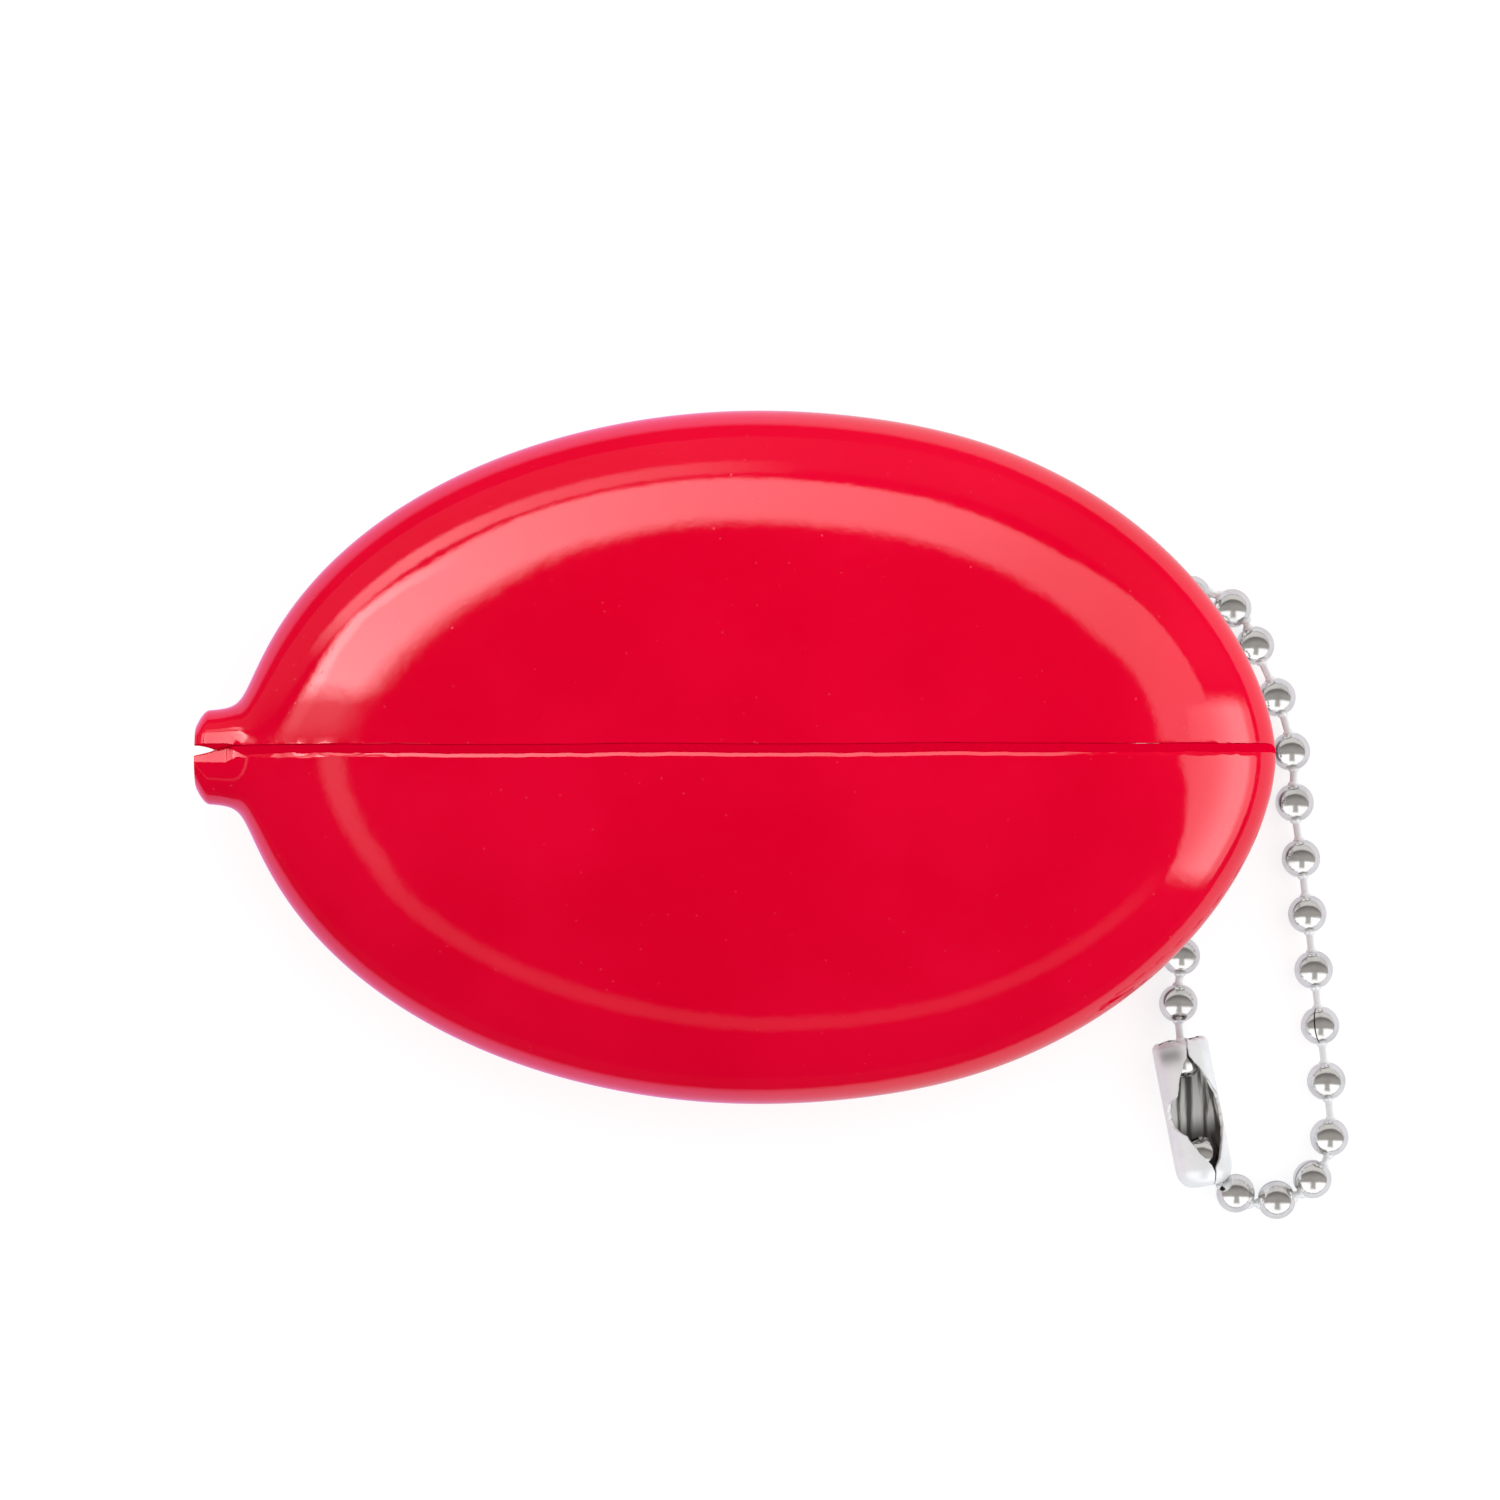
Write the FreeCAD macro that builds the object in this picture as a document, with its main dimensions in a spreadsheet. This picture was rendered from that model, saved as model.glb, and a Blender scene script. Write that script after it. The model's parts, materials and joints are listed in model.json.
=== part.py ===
"""Squeeze coin purse: a hollow oval vinyl shell with a slit, and a looped bead chain.

Millimetres, +Z up. The purse lies on its front, the slit side up: X runs along the slit, with
the moulding neck towards -X and the chain towards +X. The origin is the middle of the flat
spot that the purse rests on.
"""
import FreeCAD, Part
import math
import os

import Sketcher
from FreeCAD import Placement, Rotation, Vector

SIZES = {
    "shell_length": 79.2,
    "shell_width": 53.0,
    "shell_depth": 22.0,
    "shell_wall": 2.0,
    "rest_cut": 0.4,
    "slit_gap": 0.8,
    "slit_offset": 0.8,
    "flex_gap": 0.15,
    "neck_diameter": 7.2,
    "neck_reach": 3.6,
    "neck_root": 4.0,
    "neck_bore": 3.6,
    "neck_edge": 0.7,
    "notch_width": 1.1,
    "notch_depth": 1.8,
    "hole_diameter": 3.8,
    "hole_inset": 11.1,
    "hole_side": 4.5,
    "far_hole_side": 4.03,
    "hole_depth": 1.2,
    "bead_diameter": 3.0,
    "bead_wall": 0.2,
    "bead_hole": 0.92,
    "bead_room": 0.25,
    "link_diameter": 0.52,
    "link_head": 0.96,
    "link_seat": 0.88,
    "pitch_taut": 4.35,
    "pitch_slack": 3.15,
    "hole_step": 3.0,
    "hole_lift": 0.7,
    "sleeve_length": 10.6,
    "sleeve_diameter": 4.4,
    "sleeve_wall": 0.3,
    "sleeve_corner": 0.8,
    "sleeve_mouth": 2.2,
    "sleeve_seat": 1.2,
    "sleeve_slot": 0.9,
    "window_length": 8.4,
    "window_width": 3.5,
    "cut_past": 1.0,
}

# The chain's steps from bead to bead, in plan: heading in degrees from +X, and how far the
# link is drawn out, from 0 (the beads pushed together) to 1 (taut).
TOP_HEADINGS = [(67, 0.5), (26, 0.5), (-18, 0.15), (-58.5, 0.2)]
RIGHT_HEADINGS = [(-67.5, 1.0), (-75, 1.0), (-86, 0.7)] + [(-83.5, 1.0)] * 5 + [(-87, 1.0)]
BOTTOM_HEADINGS = [(-112, 0.3), (-150, 0.05), (-189, 0.05), (-227.5, 0.7)]
LEFT_HEADINGS = [(-266, 1.0), (-273, 0.45), (-271, 1.0), (-266, 0.8)]
FIRST_HEADING = 87
SLEEVE_HEADING = -259
LAST_HEADING = -258
INSIDE_SHARES = (0.3, 0.7)
SETTLE_ROUNDS = 30

# The neck's sideways flare: share of the way in from its end, and width over its own.
NECK_FLARE = [(0.0, 1.0), (0.16, 1.01), (0.3, 1.1), (0.42, 1.36), (0.54, 1.75), (0.8, 2.3)]

UP = Vector(0, 0, 1)

doc = FreeCAD.newDocument("squeeze_coin_purse")
sheet = doc.addObject("Spreadsheet::Sheet", "Sizes")
for row, (alias, value) in enumerate(SIZES.items(), 1):
    sheet.set(f"A{row}", alias)
    sheet.set(f"B{row}", str(value))
    sheet.setAlias(f"B{row}", alias)
doc.recompute()


def size(alias):
    """A size as the sheet holds it."""
    return float(sheet.get(alias))


def bind(obj, **formulas):
    """Bind properties to formulas of the sheet's names; two underscores stand for a dot."""
    for name, formula in formulas.items():
        words = formula.split(" ")
        bound = [f"Sizes.{word}" if word in SIZES else word for word in words]
        obj.setExpression(name.replace("__", "."), " ".join(bound))


def add(kind, name, **formulas):
    """A new object with its sizes bound to the sheet."""
    obj = doc.addObject(kind, name)
    bind(obj, **formulas)
    return obj


def boolean(kind, name, base, tool):
    """A cut, fuse or common of two objects."""
    obj = doc.addObject(f"Part::{kind}", name)
    obj.Base = base
    obj.Tool = tool
    return obj


def fused(name, shapes):
    """The union of several objects."""
    obj = doc.addObject("Part::MultiFuse", name)
    obj.Shapes = shapes
    return obj


EQUATOR = "shell_depth / 2 - rest_cut"


def equator():
    """The height of the shell's widest section, where it flexes."""
    return size("shell_depth") / 2 - size("rest_cut")


def half_axes(inset=0.0):
    """The shell's half length, half width and half depth, taken in by an inset."""
    return tuple(size(f"shell_{way}") / 2 - inset for way in ("length", "width", "depth"))


def wall_height(x, y, inset):
    """Height of the lower wall, at an inset from the outside, over a place in plan."""
    a, b, c = half_axes(inset)
    return equator() - c * math.sqrt(1 - (x / a) ** 2 - (y / b) ** 2)


def wall_normal(x, y):
    """The lower wall's inward direction over a place in plan, at half its thickness."""
    inset = size("shell_wall") / 2
    a, b, c = half_axes(inset)
    drop = equator() - wall_height(x, y, inset)
    normal = Vector(-x / a**2, -y / b**2, drop / c**2)
    return normal.normalize()


class Bead:
    """A bead of the chain: its name, its middle, and the way its two holes lie."""

    def __init__(self, name, centre):
        self.name = name
        self.centre = centre
        self.axis = None

    def reach(self):
        """How far the middle of either hole is from the bead's own middle."""
        return (size("bead_diameter") - size("bead_wall")) / 2

    def mouth(self, side):
        """The middle of one of the bead's two holes: side 1 is along the axis, -1 against it."""
        return self.centre + self.axis * (side * self.reach())


def plan_step(place, heading, reach):
    """The place one step on, in plan."""
    angle = math.radians(heading)
    return place + Vector(math.cos(angle), math.sin(angle), 0) * reach


def left_share(start):
    """How much of its slack the left run uses up on its way from start to the second hole."""
    slack = size("pitch_slack")
    stretch = size("pitch_taut") - slack
    way = -size("far_hole_side") - start
    way -= math.sin(math.radians(LAST_HEADING)) * size("hole_step")
    loose = 0
    room = 0
    for heading, share in LEFT_HEADINGS:
        climb = math.sin(math.radians(heading))
        loose += slack * climb
        room += stretch * share * climb
    return min(max((way - loose) / room, 0), 1)


def chain_places():
    """Every bead's middle, in order round the loop from the first hole to the second and back
    inside, and the number of the bead that the sleeve follows."""
    radius = size("bead_diameter") / 2
    slack = size("pitch_slack")
    stretch = size("pitch_taut") - slack
    seat = size("sleeve_length") - 2 * (size("sleeve_wall") + size("sleeve_seat"))
    hole_a = Vector(size("shell_length") / 2 - size("hole_inset"), size("hole_side"), 0)
    room = radius + size("bead_room")

    places = [hole_a, plan_step(hole_a, FIRST_HEADING, size("hole_step"))]
    for heading, share in TOP_HEADINGS + RIGHT_HEADINGS + BOTTOM_HEADINGS:
        places.append(plan_step(places[-1], heading, slack + stretch * share))
    held = len(places) - 1
    places.append(plan_step(places[-1], SLEEVE_HEADING, seat))
    drawn = left_share(places[-1].y)
    for heading, share in LEFT_HEADINGS:
        places.append(plan_step(places[-1], heading, slack + stretch * share * drawn))
    places.append(plan_step(places[-1], LAST_HEADING, size("hole_step")))
    hole_b = places[-1]
    for place in places:
        place.z = radius
    for place in (places[1], places[-2]):
        under = wall_height(place.x, place.y, 0) - room / wall_normal(place.x, place.y).z
        place.z = min(radius + size("hole_lift"), under)
    for place in places[held : held + 2]:
        place.z = size("sleeve_diameter") / 2
    for place in (hole_a, hole_b):
        place.z = wall_height(place.x, place.y, size("hole_depth"))
    for share in INSIDE_SHARES:
        place = hole_b + (hole_a - hole_b) * share
        floor = wall_height(place.x, place.y, size("shell_wall"))
        place.z = floor + room / wall_normal(place.x, place.y).z
        places.append(place)
    return places, held


def chain_beads():
    """The beads with their axes, and the number of the bead that the sleeve follows.

    Each bead turns to lie along the line between the holes that face it, and the sleeve counts
    as a hole on its own line. Settling them in rounds spreads a bend over several beads.
    """
    places, held = chain_places()
    beads = [Bead(f"bead_{n:02d}", place) for n, place in enumerate(places, 1)]
    count = len(beads)
    for n, bead in enumerate(beads):
        back = (bead.centre - beads[n - 1].centre).normalize()
        ahead = (beads[(n + 1) % count].centre - bead.centre).normalize()
        bead.axis = (back + ahead).normalize()
    sleeve = (beads[held + 1].centre - beads[held].centre).normalize()
    for _ in range(SETTLE_ROUNDS):
        for n, bead in enumerate(beads):
            back = beads[n - 1].mouth(1)
            ahead = beads[(n + 1) % count].mouth(-1)
            if n == held:
                ahead = bead.centre + sleeve * bead.reach()
            if n == held + 1:
                back = bead.centre - sleeve * bead.reach()
            bead.axis = (ahead - back).normalize()
    return beads, held


def revolved(name, lines):
    """A body made by turning a sketch on its XZ plane round its Z axis; lines draws it."""
    body = doc.addObject("PartDesign::Body", name)
    sketch = body.newObject("Sketcher::SketchObject", f"{name}_profile")
    plane = [item for item in body.Origin.OriginFeatures if item.Role == "XZ_Plane"][0]
    sketch.AttachmentSupport = (plane, [""])
    sketch.MapMode = "FlatFace"
    lines(sketch)
    turn = body.newObject("PartDesign::Revolution", f"{name}_turned")
    turn.Profile = sketch
    turn.ReferenceAxis = (sketch, ["V_Axis"])
    turn.Angle = 360
    sketch.Visibility = False
    return body


def arc(x, y, radius, start, end):
    """An arc in a sketch, its angles in radians."""
    circle = Part.Circle(Vector(x, y, 0), UP, radius)
    return Part.ArcOfCircle(circle, start, end)


def line(start, end):
    """A straight line in a sketch."""
    return Part.LineSegment(Vector(*start, 0), Vector(*end, 0))


def constrain(sketch, name, formula, *parts):
    """A named size in a sketch, bound to the sheet."""
    number = sketch.addConstraint(Sketcher.Constraint(*parts))
    sketch.renameConstraint(number, name)
    bind(sketch, **{f"Constraints__{name}": formula})


def join(sketch, *pairs):
    """Make pairs of sketch points meet: each is two (line, point) pairs."""
    for first, second in pairs:
        sketch.addConstraint(Sketcher.Constraint("Coincident", *first, *second))


def blend(sketch, *pairs):
    """Make pairs of sketch lines meet at their ends without a corner."""
    for first, second in pairs:
        sketch.addConstraint(Sketcher.Constraint("Tangent", *first, *second))


def bead_profile(sketch):
    """Half of a hollow ball's wall, with a hole left at both poles."""
    outer = size("bead_diameter") / 2
    inner = outer - size("bead_wall")
    hole = size("bead_hole") / 2
    out = math.acos(hole / outer)
    into = math.acos(hole / inner)
    top = outer * math.sin(out), inner * math.sin(into)
    sketch.addGeometry(
        [
            arc(0, 0, outer, -out, out),
            arc(0, 0, inner, -into, into),
            line((hole, top[0]), (hole, top[1])),
            line((hole, -top[0]), (hole, -top[1])),
        ]
    )
    origin = (-1, 1)
    join(sketch, ((0, 3), origin), ((1, 3), origin))
    join(sketch, ((0, 2), (2, 1)), ((1, 2), (2, 2)), ((0, 1), (3, 1)), ((1, 1), (3, 2)))
    for side in (2, 3):
        sketch.addConstraint(Sketcher.Constraint("Vertical", side))
    constrain(sketch, "outer", "bead_diameter / 2", "Radius", 0, outer)
    constrain(sketch, "inner", "bead_diameter / 2 - bead_wall", "Radius", 1, inner)
    for side in (2, 3):
        spot = f"hole{side}"
        constrain(sketch, spot, "bead_hole / 2", "DistanceX", -1, 1, side, 1, hole)


def make_bead(bead):
    """One bead, turned to lie along the chain."""
    body = revolved(bead.name, bead_profile)
    body.Placement = Placement(bead.centre, Rotation(UP, bead.axis))
    return body


def make_link(name, start, end):
    """One link: a wire with a round head at each end, wider than the holes of the two beads
    that it joins, so that neither bead comes off it."""
    along = end - start
    half = along.Length / 2 + size("link_seat")
    head = size("link_head") / 2
    wire = size("link_diameter") / 2
    bend = math.acos(wire / head)
    rise = head * math.sin(bend)

    def profile(sketch):
        sketch.addGeometry(
            [
                arc(0, -half, head, -math.pi / 2, bend),
                line((wire, rise - half), (wire, half - rise)),
                arc(0, half, head, -bend, math.pi / 2),
                line((0, half + head), (0, -half - head)),
            ]
        )
        join(sketch, ((0, 2), (1, 1)), ((1, 2), (2, 1)), ((2, 2), (3, 1)), ((3, 2), (0, 1)))
        sketch.addConstraint(Sketcher.Constraint("Vertical", 1))
        for spot in ((0, 3), (2, 3), (3, 1), (3, 2)):
            sketch.addConstraint(Sketcher.Constraint("PointOnObject", *spot, -2))
        sketch.addConstraint(Sketcher.Constraint("DistanceY", -1, 1, 2, 3, half))
        sketch.addConstraint(Sketcher.Constraint("DistanceY", 0, 3, -1, 1, half))
        for ball in (0, 2):
            constrain(sketch, f"head{ball}", "link_head / 2", "Radius", ball, head)
        constrain(sketch, "wire", "link_diameter / 2", "DistanceX", -1, 1, 1, 1, wire)

    body = revolved(name, profile)
    body.Placement = Placement((start + end) / 2, Rotation(UP, along))
    return body


def sleeve_profile(sketch):
    """The section of the connector's rolled wall, turned in at both ends."""
    outer = size("sleeve_diameter") / 2
    wall = size("sleeve_wall")
    corner = size("sleeve_corner")
    mouth = size("sleeve_mouth") / 2
    end = size("sleeve_length") / 2
    bend = outer - corner
    quarter = math.pi / 2
    sketch.addGeometry(
        [
            line((mouth, end), (bend, end)),
            arc(bend, end - corner, corner, 0, quarter),
            line((outer, end - corner), (outer, corner - end)),
            arc(bend, corner - end, corner, -quarter, 0),
            line((bend, -end), (mouth, -end)),
            line((mouth, -end), (mouth, wall - end)),
            line((mouth, wall - end), (bend, wall - end)),
            arc(bend, corner - end, corner - wall, -quarter, 0),
            line((outer - wall, corner - end), (outer - wall, end - corner)),
            arc(bend, end - corner, corner - wall, 0, quarter),
            line((bend, end - wall), (mouth, end - wall)),
            line((mouth, end - wall), (mouth, end)),
        ]
    )
    blend(sketch, ((0, 2), (1, 2)), ((1, 1), (2, 1)), ((2, 2), (3, 2)), ((3, 1), (4, 1)))
    blend(sketch, ((6, 2), (7, 1)), ((7, 2), (8, 1)), ((8, 2), (9, 1)), ((9, 2), (10, 1)))
    join(sketch, ((4, 2), (5, 1)), ((5, 2), (6, 1)), ((10, 2), (11, 1)), ((11, 2), (0, 1)))
    join(sketch, ((1, 3), (9, 3)), ((3, 3), (7, 3)))
    for flat in (0, 4, 6, 10):
        sketch.addConstraint(Sketcher.Constraint("Horizontal", flat))
    for upright in (2, 5, 8, 11):
        sketch.addConstraint(Sketcher.Constraint("Vertical", upright))
    constrain(sketch, "top", "sleeve_length / 2", "DistanceY", -1, 1, 0, 1, end)
    constrain(sketch, "foot", "sleeve_length / 2", "DistanceY", 4, 2, -1, 1, end)
    constrain(sketch, "outside", "sleeve_diameter / 2", "DistanceX", -1, 1, 2, 1, outer)
    constrain(sketch, "mouth", "sleeve_mouth / 2", "DistanceX", -1, 1, 0, 1, mouth)
    constrain(sketch, "mouthfoot", "sleeve_mouth / 2", "DistanceX", -1, 1, 4, 2, mouth)
    constrain(sketch, "bend", "sleeve_corner", "Radius", 1, corner)
    constrain(sketch, "bendfoot", "sleeve_corner", "Radius", 3, corner)
    constrain(sketch, "fold", "sleeve_corner - sleeve_wall", "Radius", 9, corner - wall)


def open_sleeve(body, name, lines):
    """Cut a sketch on the body's XZ plane up through the wall on the +Y side."""
    sketch = body.newObject("Sketcher::SketchObject", f"{name}_shape")
    plane = [item for item in body.Origin.OriginFeatures if item.Role == "XZ_Plane"][0]
    sketch.AttachmentSupport = (plane, [""])
    sketch.MapMode = "FlatFace"
    lines(sketch)
    pocket = body.newObject("PartDesign::Pocket", name)
    pocket.Profile = sketch
    bind(pocket, Length="sleeve_diameter")
    pocket.Reversed = False
    sketch.Visibility = False
    return pocket


def window_lines(sketch):
    """A lens: two arcs that meet in points on the sleeve's middle line."""
    half = size("window_length") / 2
    wide = size("window_width") / 2
    radius = (half**2 + wide**2) / (2 * wide)
    spread = math.asin(half / radius)
    sketch.addGeometry(
        [
            arc(wide - radius, 0, radius, -spread, spread),
            arc(radius - wide, 0, radius, math.pi - spread, math.pi + spread),
        ]
    )
    join(sketch, ((0, 2), (1, 1)), ((0, 1), (1, 2)))
    for spot in ((0, 1), (0, 2)):
        sketch.addConstraint(Sketcher.Constraint("PointOnObject", *spot, -2))
    sketch.addConstraint(Sketcher.Constraint("PointOnObject", 0, 3, -1))
    constrain(sketch, "tip", "window_length / 2", "DistanceY", -1, 1, 0, 2, half)
    swing = "( window_length * window_length / 4 + window_width * window_width / 4 )"
    for side in (0, 1):
        constrain(sketch, f"swing{side}", f"{swing} / window_width", "Radius", side, radius)


def slot_lines(sketch):
    """A narrow slot that lets the wire of a link slide in at either end."""
    half = size("sleeve_slot") / 2
    end = size("sleeve_length") / 2 + size("cut_past")
    corners = [(-half, -end), (half, -end), (half, end), (-half, end)]
    sketch.addGeometry([line(corners[n - 1], corners[n]) for n in range(4)])
    join(sketch, *[((n, 2), ((n + 1) % 4, 1)) for n in range(4)])
    for flat in (1, 3):
        sketch.addConstraint(Sketcher.Constraint("Horizontal", flat))
    for upright in (0, 2):
        sketch.addConstraint(Sketcher.Constraint("Vertical", upright))
    constrain(sketch, "right", "sleeve_slot / 2", "DistanceX", -1, 1, 1, 2, half)
    constrain(sketch, "left", "sleeve_slot / 2", "DistanceX", 0, 1, -1, 1, half)
    constrain(sketch, "top", "sleeve_length / 2 + cut_past", "DistanceY", -1, 1, 2, 2, end)
    constrain(sketch, "foot", "sleeve_length / 2 + cut_past", "DistanceY", 0, 2, -1, 1, end)


def make_sleeve(start, end):
    """The connector: a rolled sleeve over the chain's two end beads, its open side up."""
    body = revolved("chain_connector", sleeve_profile)
    open_sleeve(body, "window", window_lines)
    body.Tip = open_sleeve(body, "slot", slot_lines)
    along = (end - start).normalize()
    turned = Rotation(UP.cross(along), UP, along, "ZYX")
    body.Placement = Placement((start + end) / 2, turned)
    return body


def oval(name, inset):
    """A ball stretched to the shell's three sizes, less an inset all round."""
    ball = add("Part::Sphere", f"{name}_ball")
    ball.Radius = 1
    stretched = add(
        "Part::Scale",
        name,
        XScale=f"shell_length / 2 - {inset}",
        YScale=f"shell_width / 2 - {inset}",
        ZScale=f"shell_depth / 2 - {inset}",
        Placement__Base__z=EQUATOR,
    )
    stretched.Base = ball
    stretched.Uniform = False
    return stretched


def ring(name, inward, wide, tall):
    """An upright oval across the neck: how far in from the neck's end, half width, half height."""
    hoop = add("Part::Ellipse", name, MajorRadius=wide, MinorRadius=tall)
    across = Rotation(Vector(0, 1, 0), UP, Vector(1, 0, 0), "ZXY")
    hoop.Placement = Placement(Vector(0, 0, 0), across)
    bind(hoop, Placement__Base__x=f"{inward} - shell_length / 2 - neck_reach")
    bind(hoop, Placement__Base__z=EQUATOR)
    return hoop


def rod(name, kind, inward, **formulas):
    """A cylinder or cone along the neck, from a place in from the neck's end."""
    obj = add(f"Part::{kind}", name, **formulas)
    turned = Rotation(Vector(0, 1, 0), 90) * Rotation(UP, 45)
    obj.Placement = Placement(Vector(0, 0, 0), turned)
    bind(obj, Placement__Base__x=f"{inward} - shell_length / 2 - neck_reach")
    bind(obj, Placement__Base__z=EQUATOR)
    return obj


def make_neck():
    """The neck: straight at its eased end, then flared sideways into the oval."""
    radius = "neck_diameter / 2"
    rings = []
    for number, (share, spread) in enumerate(NECK_FLARE):
        inward = f"neck_edge + ( neck_reach + neck_root ) * {share}"
        rings.append(ring(f"neck_ring_{number}", inward, f"{radius} * {spread}", radius))
    flare = doc.addObject("Part::Loft", "neck_flare")
    flare.Sections = rings
    flare.Solid = True
    flare.Ruled = False
    tip = rod(
        "neck_tip", "Cone", "0", Radius1=f"{radius} - neck_edge", Radius2=radius, Height="neck_edge"
    )
    return [flare, tip]


def block(name, x, y, z, length, width, height):
    """A box with its low corner and its sizes given as formulas."""
    return add(
        "Part::Box",
        name,
        Length=length,
        Width=width,
        Height=height,
        Placement__Base__x=x,
        Placement__Base__y=y,
        Placement__Base__z=z,
    )


def moulding():
    """The vinyl moulding in one piece: hollow oval, flared neck, and the flat it rests on."""
    outside = fused("moulded", [oval("outside", "0")] + make_neck())
    depth = "neck_reach + shell_width / 5"
    bore = rod("bore", "Cylinder", "0 - neck_edge", Radius="neck_bore / 2", Height=depth)
    inside = fused("inside", [oval("cavity", "shell_wall"), bore])
    hollow = boolean("Cut", "hollow", outside, inside)
    table = block(
        "table", "0 - shell_length", "0 - shell_width", "0 - shell_depth",
        "2 * shell_length", "2 * shell_width", "shell_depth",
    )
    return boolean("Cut", "rested", hollow, table)


def cutters(hole_beads):
    """What is cut out of the front: the slit's run along the neck, the notch at the neck's end,
    and the two holes for the chain."""
    slit = block(
        "neck_slit", "0 - shell_length", "slit_offset - slit_gap / 2",
        f"{EQUATOR} + neck_bore / 8", "shell_length / 2 + neck_root + cut_past", "slit_gap", "shell_depth",
    )
    notch = add(
        "Part::Wedge",
        "notch",
        Xmin="0 - notch_width / 2",
        Xmax="notch_width / 2",
        X2min="0 - notch_width / 100",
        X2max="notch_width / 100",
        Ymin="0",
        Ymax="notch_depth",
        Zmin="0 - shell_depth",
        Zmax="shell_depth",
        Z2min="0 - shell_depth",
        Z2max="shell_depth",
    )
    notch.Placement = Placement(Vector(0, 0, 0), Rotation(UP, -90))
    bind(notch, Placement__Base__x="0 - shell_length / 2 - neck_reach")
    bind(notch, Placement__Base__y="slit_offset")
    bind(notch, Placement__Base__z=EQUATOR)
    punched = []
    for name, bead in zip(("hole_a", "hole_b"), hole_beads):
        punch = add("Part::Cylinder", name, Radius="hole_diameter / 2", Height="4 * shell_wall")
        inward = wall_normal(bead.centre.x, bead.centre.y)
        low = bead.centre - inward * (2 * size("shell_wall"))
        punch.Placement = Placement(low, Rotation(UP, inward))
        punched.append(punch)
    return fused("cutters", [slit, notch] + punched)


def make_shell(hole_beads):
    """The moulding cut open, and parted along the line where it flexes."""
    whole = moulding()
    root = "neck_root - shell_length / 2"
    reach = ("shell_length", "shell_width", "shell_depth")
    above = block("above", root, "0 - shell_width", EQUATOR, reach[0], "2 * shell_width", reach[2])
    parted = boolean("Cut", "parted", whole, above)
    pieces = [boolean("Cut", "front_shell", parted, cutters(hole_beads))]
    level = f"{EQUATOR} + flex_gap"
    sides = {
        "upper_lip": "slit_offset + slit_gap / 2",
        "lower_lip": "slit_offset - slit_gap / 2 - shell_width",
    }
    for name, low in sides.items():
        zone = block(f"{name}_zone", f"{root} + flex_gap", low, level, *reach)
        dome = boolean("Common", f"{name}_dome", oval(f"{name}_outside", "0"), zone)
        pieces.append(boolean("Cut", name, dome, oval(f"{name}_inside", "shell_wall")))
    return pieces


def make_chain(beads, held):
    """The beads, the links between them, and the connector that closes the loop."""
    pieces = [make_bead(bead) for bead in beads]
    count = len(beads)
    number = 0
    for n, bead in enumerate(beads):
        after = beads[(n + 1) % count]
        if n == held:
            pieces.append(make_sleeve(bead.centre, after.centre))
            continue
        number += 1
        pieces.append(make_link(f"link_{number:02d}", bead.mouth(1), after.mouth(-1)))
    return pieces


def export(pieces):
    """Check every object, then write each piece to its own file."""
    doc.recompute()
    for obj in doc.Objects:
        if "Invalid" in obj.State or "Error" in obj.State:
            raise RuntimeError(f"{obj.Name} did not build")
    os.makedirs("parts", exist_ok=True)
    for piece in pieces:
        shape = piece.Shape
        if shape.isNull() or not shape.isValid() or len(shape.Solids) != 1:
            raise RuntimeError(f"{piece.Label} is not one sound solid")
        shape.exportStep(f"parts/{piece.Label}.step")


beads, held = chain_beads()
hole_b = -1 - len(INSIDE_SHARES)
pieces = make_shell((beads[0], beads[hole_b])) + make_chain(beads, held)
export(pieces)
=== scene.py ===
"""Squeeze coin purse: a glossy red vinyl shell, slit along its back, on a looped bead chain.

Sizes in the classes are millimetres in the model's own frame: X along the slit, with the neck
towards -X and the chain towards +X, and Z up from the table. Meshes are written in metres.
A Span is the two values between which something eases in. A Line is made of straight runs, and
holds the places of its knots and the values there.
"""

import json
import logging
import math
from dataclasses import dataclass, field
from enum import Enum
from typing import Any

import bpy
import numpy as np
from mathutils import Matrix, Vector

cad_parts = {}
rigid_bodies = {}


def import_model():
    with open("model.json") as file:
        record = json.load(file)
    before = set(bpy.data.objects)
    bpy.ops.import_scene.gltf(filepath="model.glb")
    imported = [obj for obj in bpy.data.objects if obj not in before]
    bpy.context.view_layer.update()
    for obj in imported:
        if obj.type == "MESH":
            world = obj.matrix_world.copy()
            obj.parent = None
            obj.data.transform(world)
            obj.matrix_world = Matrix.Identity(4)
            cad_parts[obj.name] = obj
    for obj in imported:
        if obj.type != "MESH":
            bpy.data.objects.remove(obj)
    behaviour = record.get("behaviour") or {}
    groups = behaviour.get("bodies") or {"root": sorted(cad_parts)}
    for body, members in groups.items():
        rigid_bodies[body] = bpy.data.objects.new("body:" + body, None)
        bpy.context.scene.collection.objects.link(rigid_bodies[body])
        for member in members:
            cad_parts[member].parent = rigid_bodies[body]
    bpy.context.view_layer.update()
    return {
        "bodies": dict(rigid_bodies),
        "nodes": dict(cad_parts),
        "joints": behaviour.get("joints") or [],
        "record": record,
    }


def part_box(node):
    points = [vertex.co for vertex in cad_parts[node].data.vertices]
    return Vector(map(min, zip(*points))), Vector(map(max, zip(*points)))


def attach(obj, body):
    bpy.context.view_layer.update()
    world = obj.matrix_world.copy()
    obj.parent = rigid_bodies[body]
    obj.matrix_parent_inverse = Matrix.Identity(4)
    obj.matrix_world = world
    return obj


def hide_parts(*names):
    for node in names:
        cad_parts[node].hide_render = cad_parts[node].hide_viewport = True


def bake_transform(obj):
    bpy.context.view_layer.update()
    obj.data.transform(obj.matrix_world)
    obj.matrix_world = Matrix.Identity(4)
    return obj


MM = 0.001
TURN = 2.0 * math.pi
STEEP = 0.9
HORIZON = 89.0
UP = np.array([0.0, 0.0, 1.0])
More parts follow.
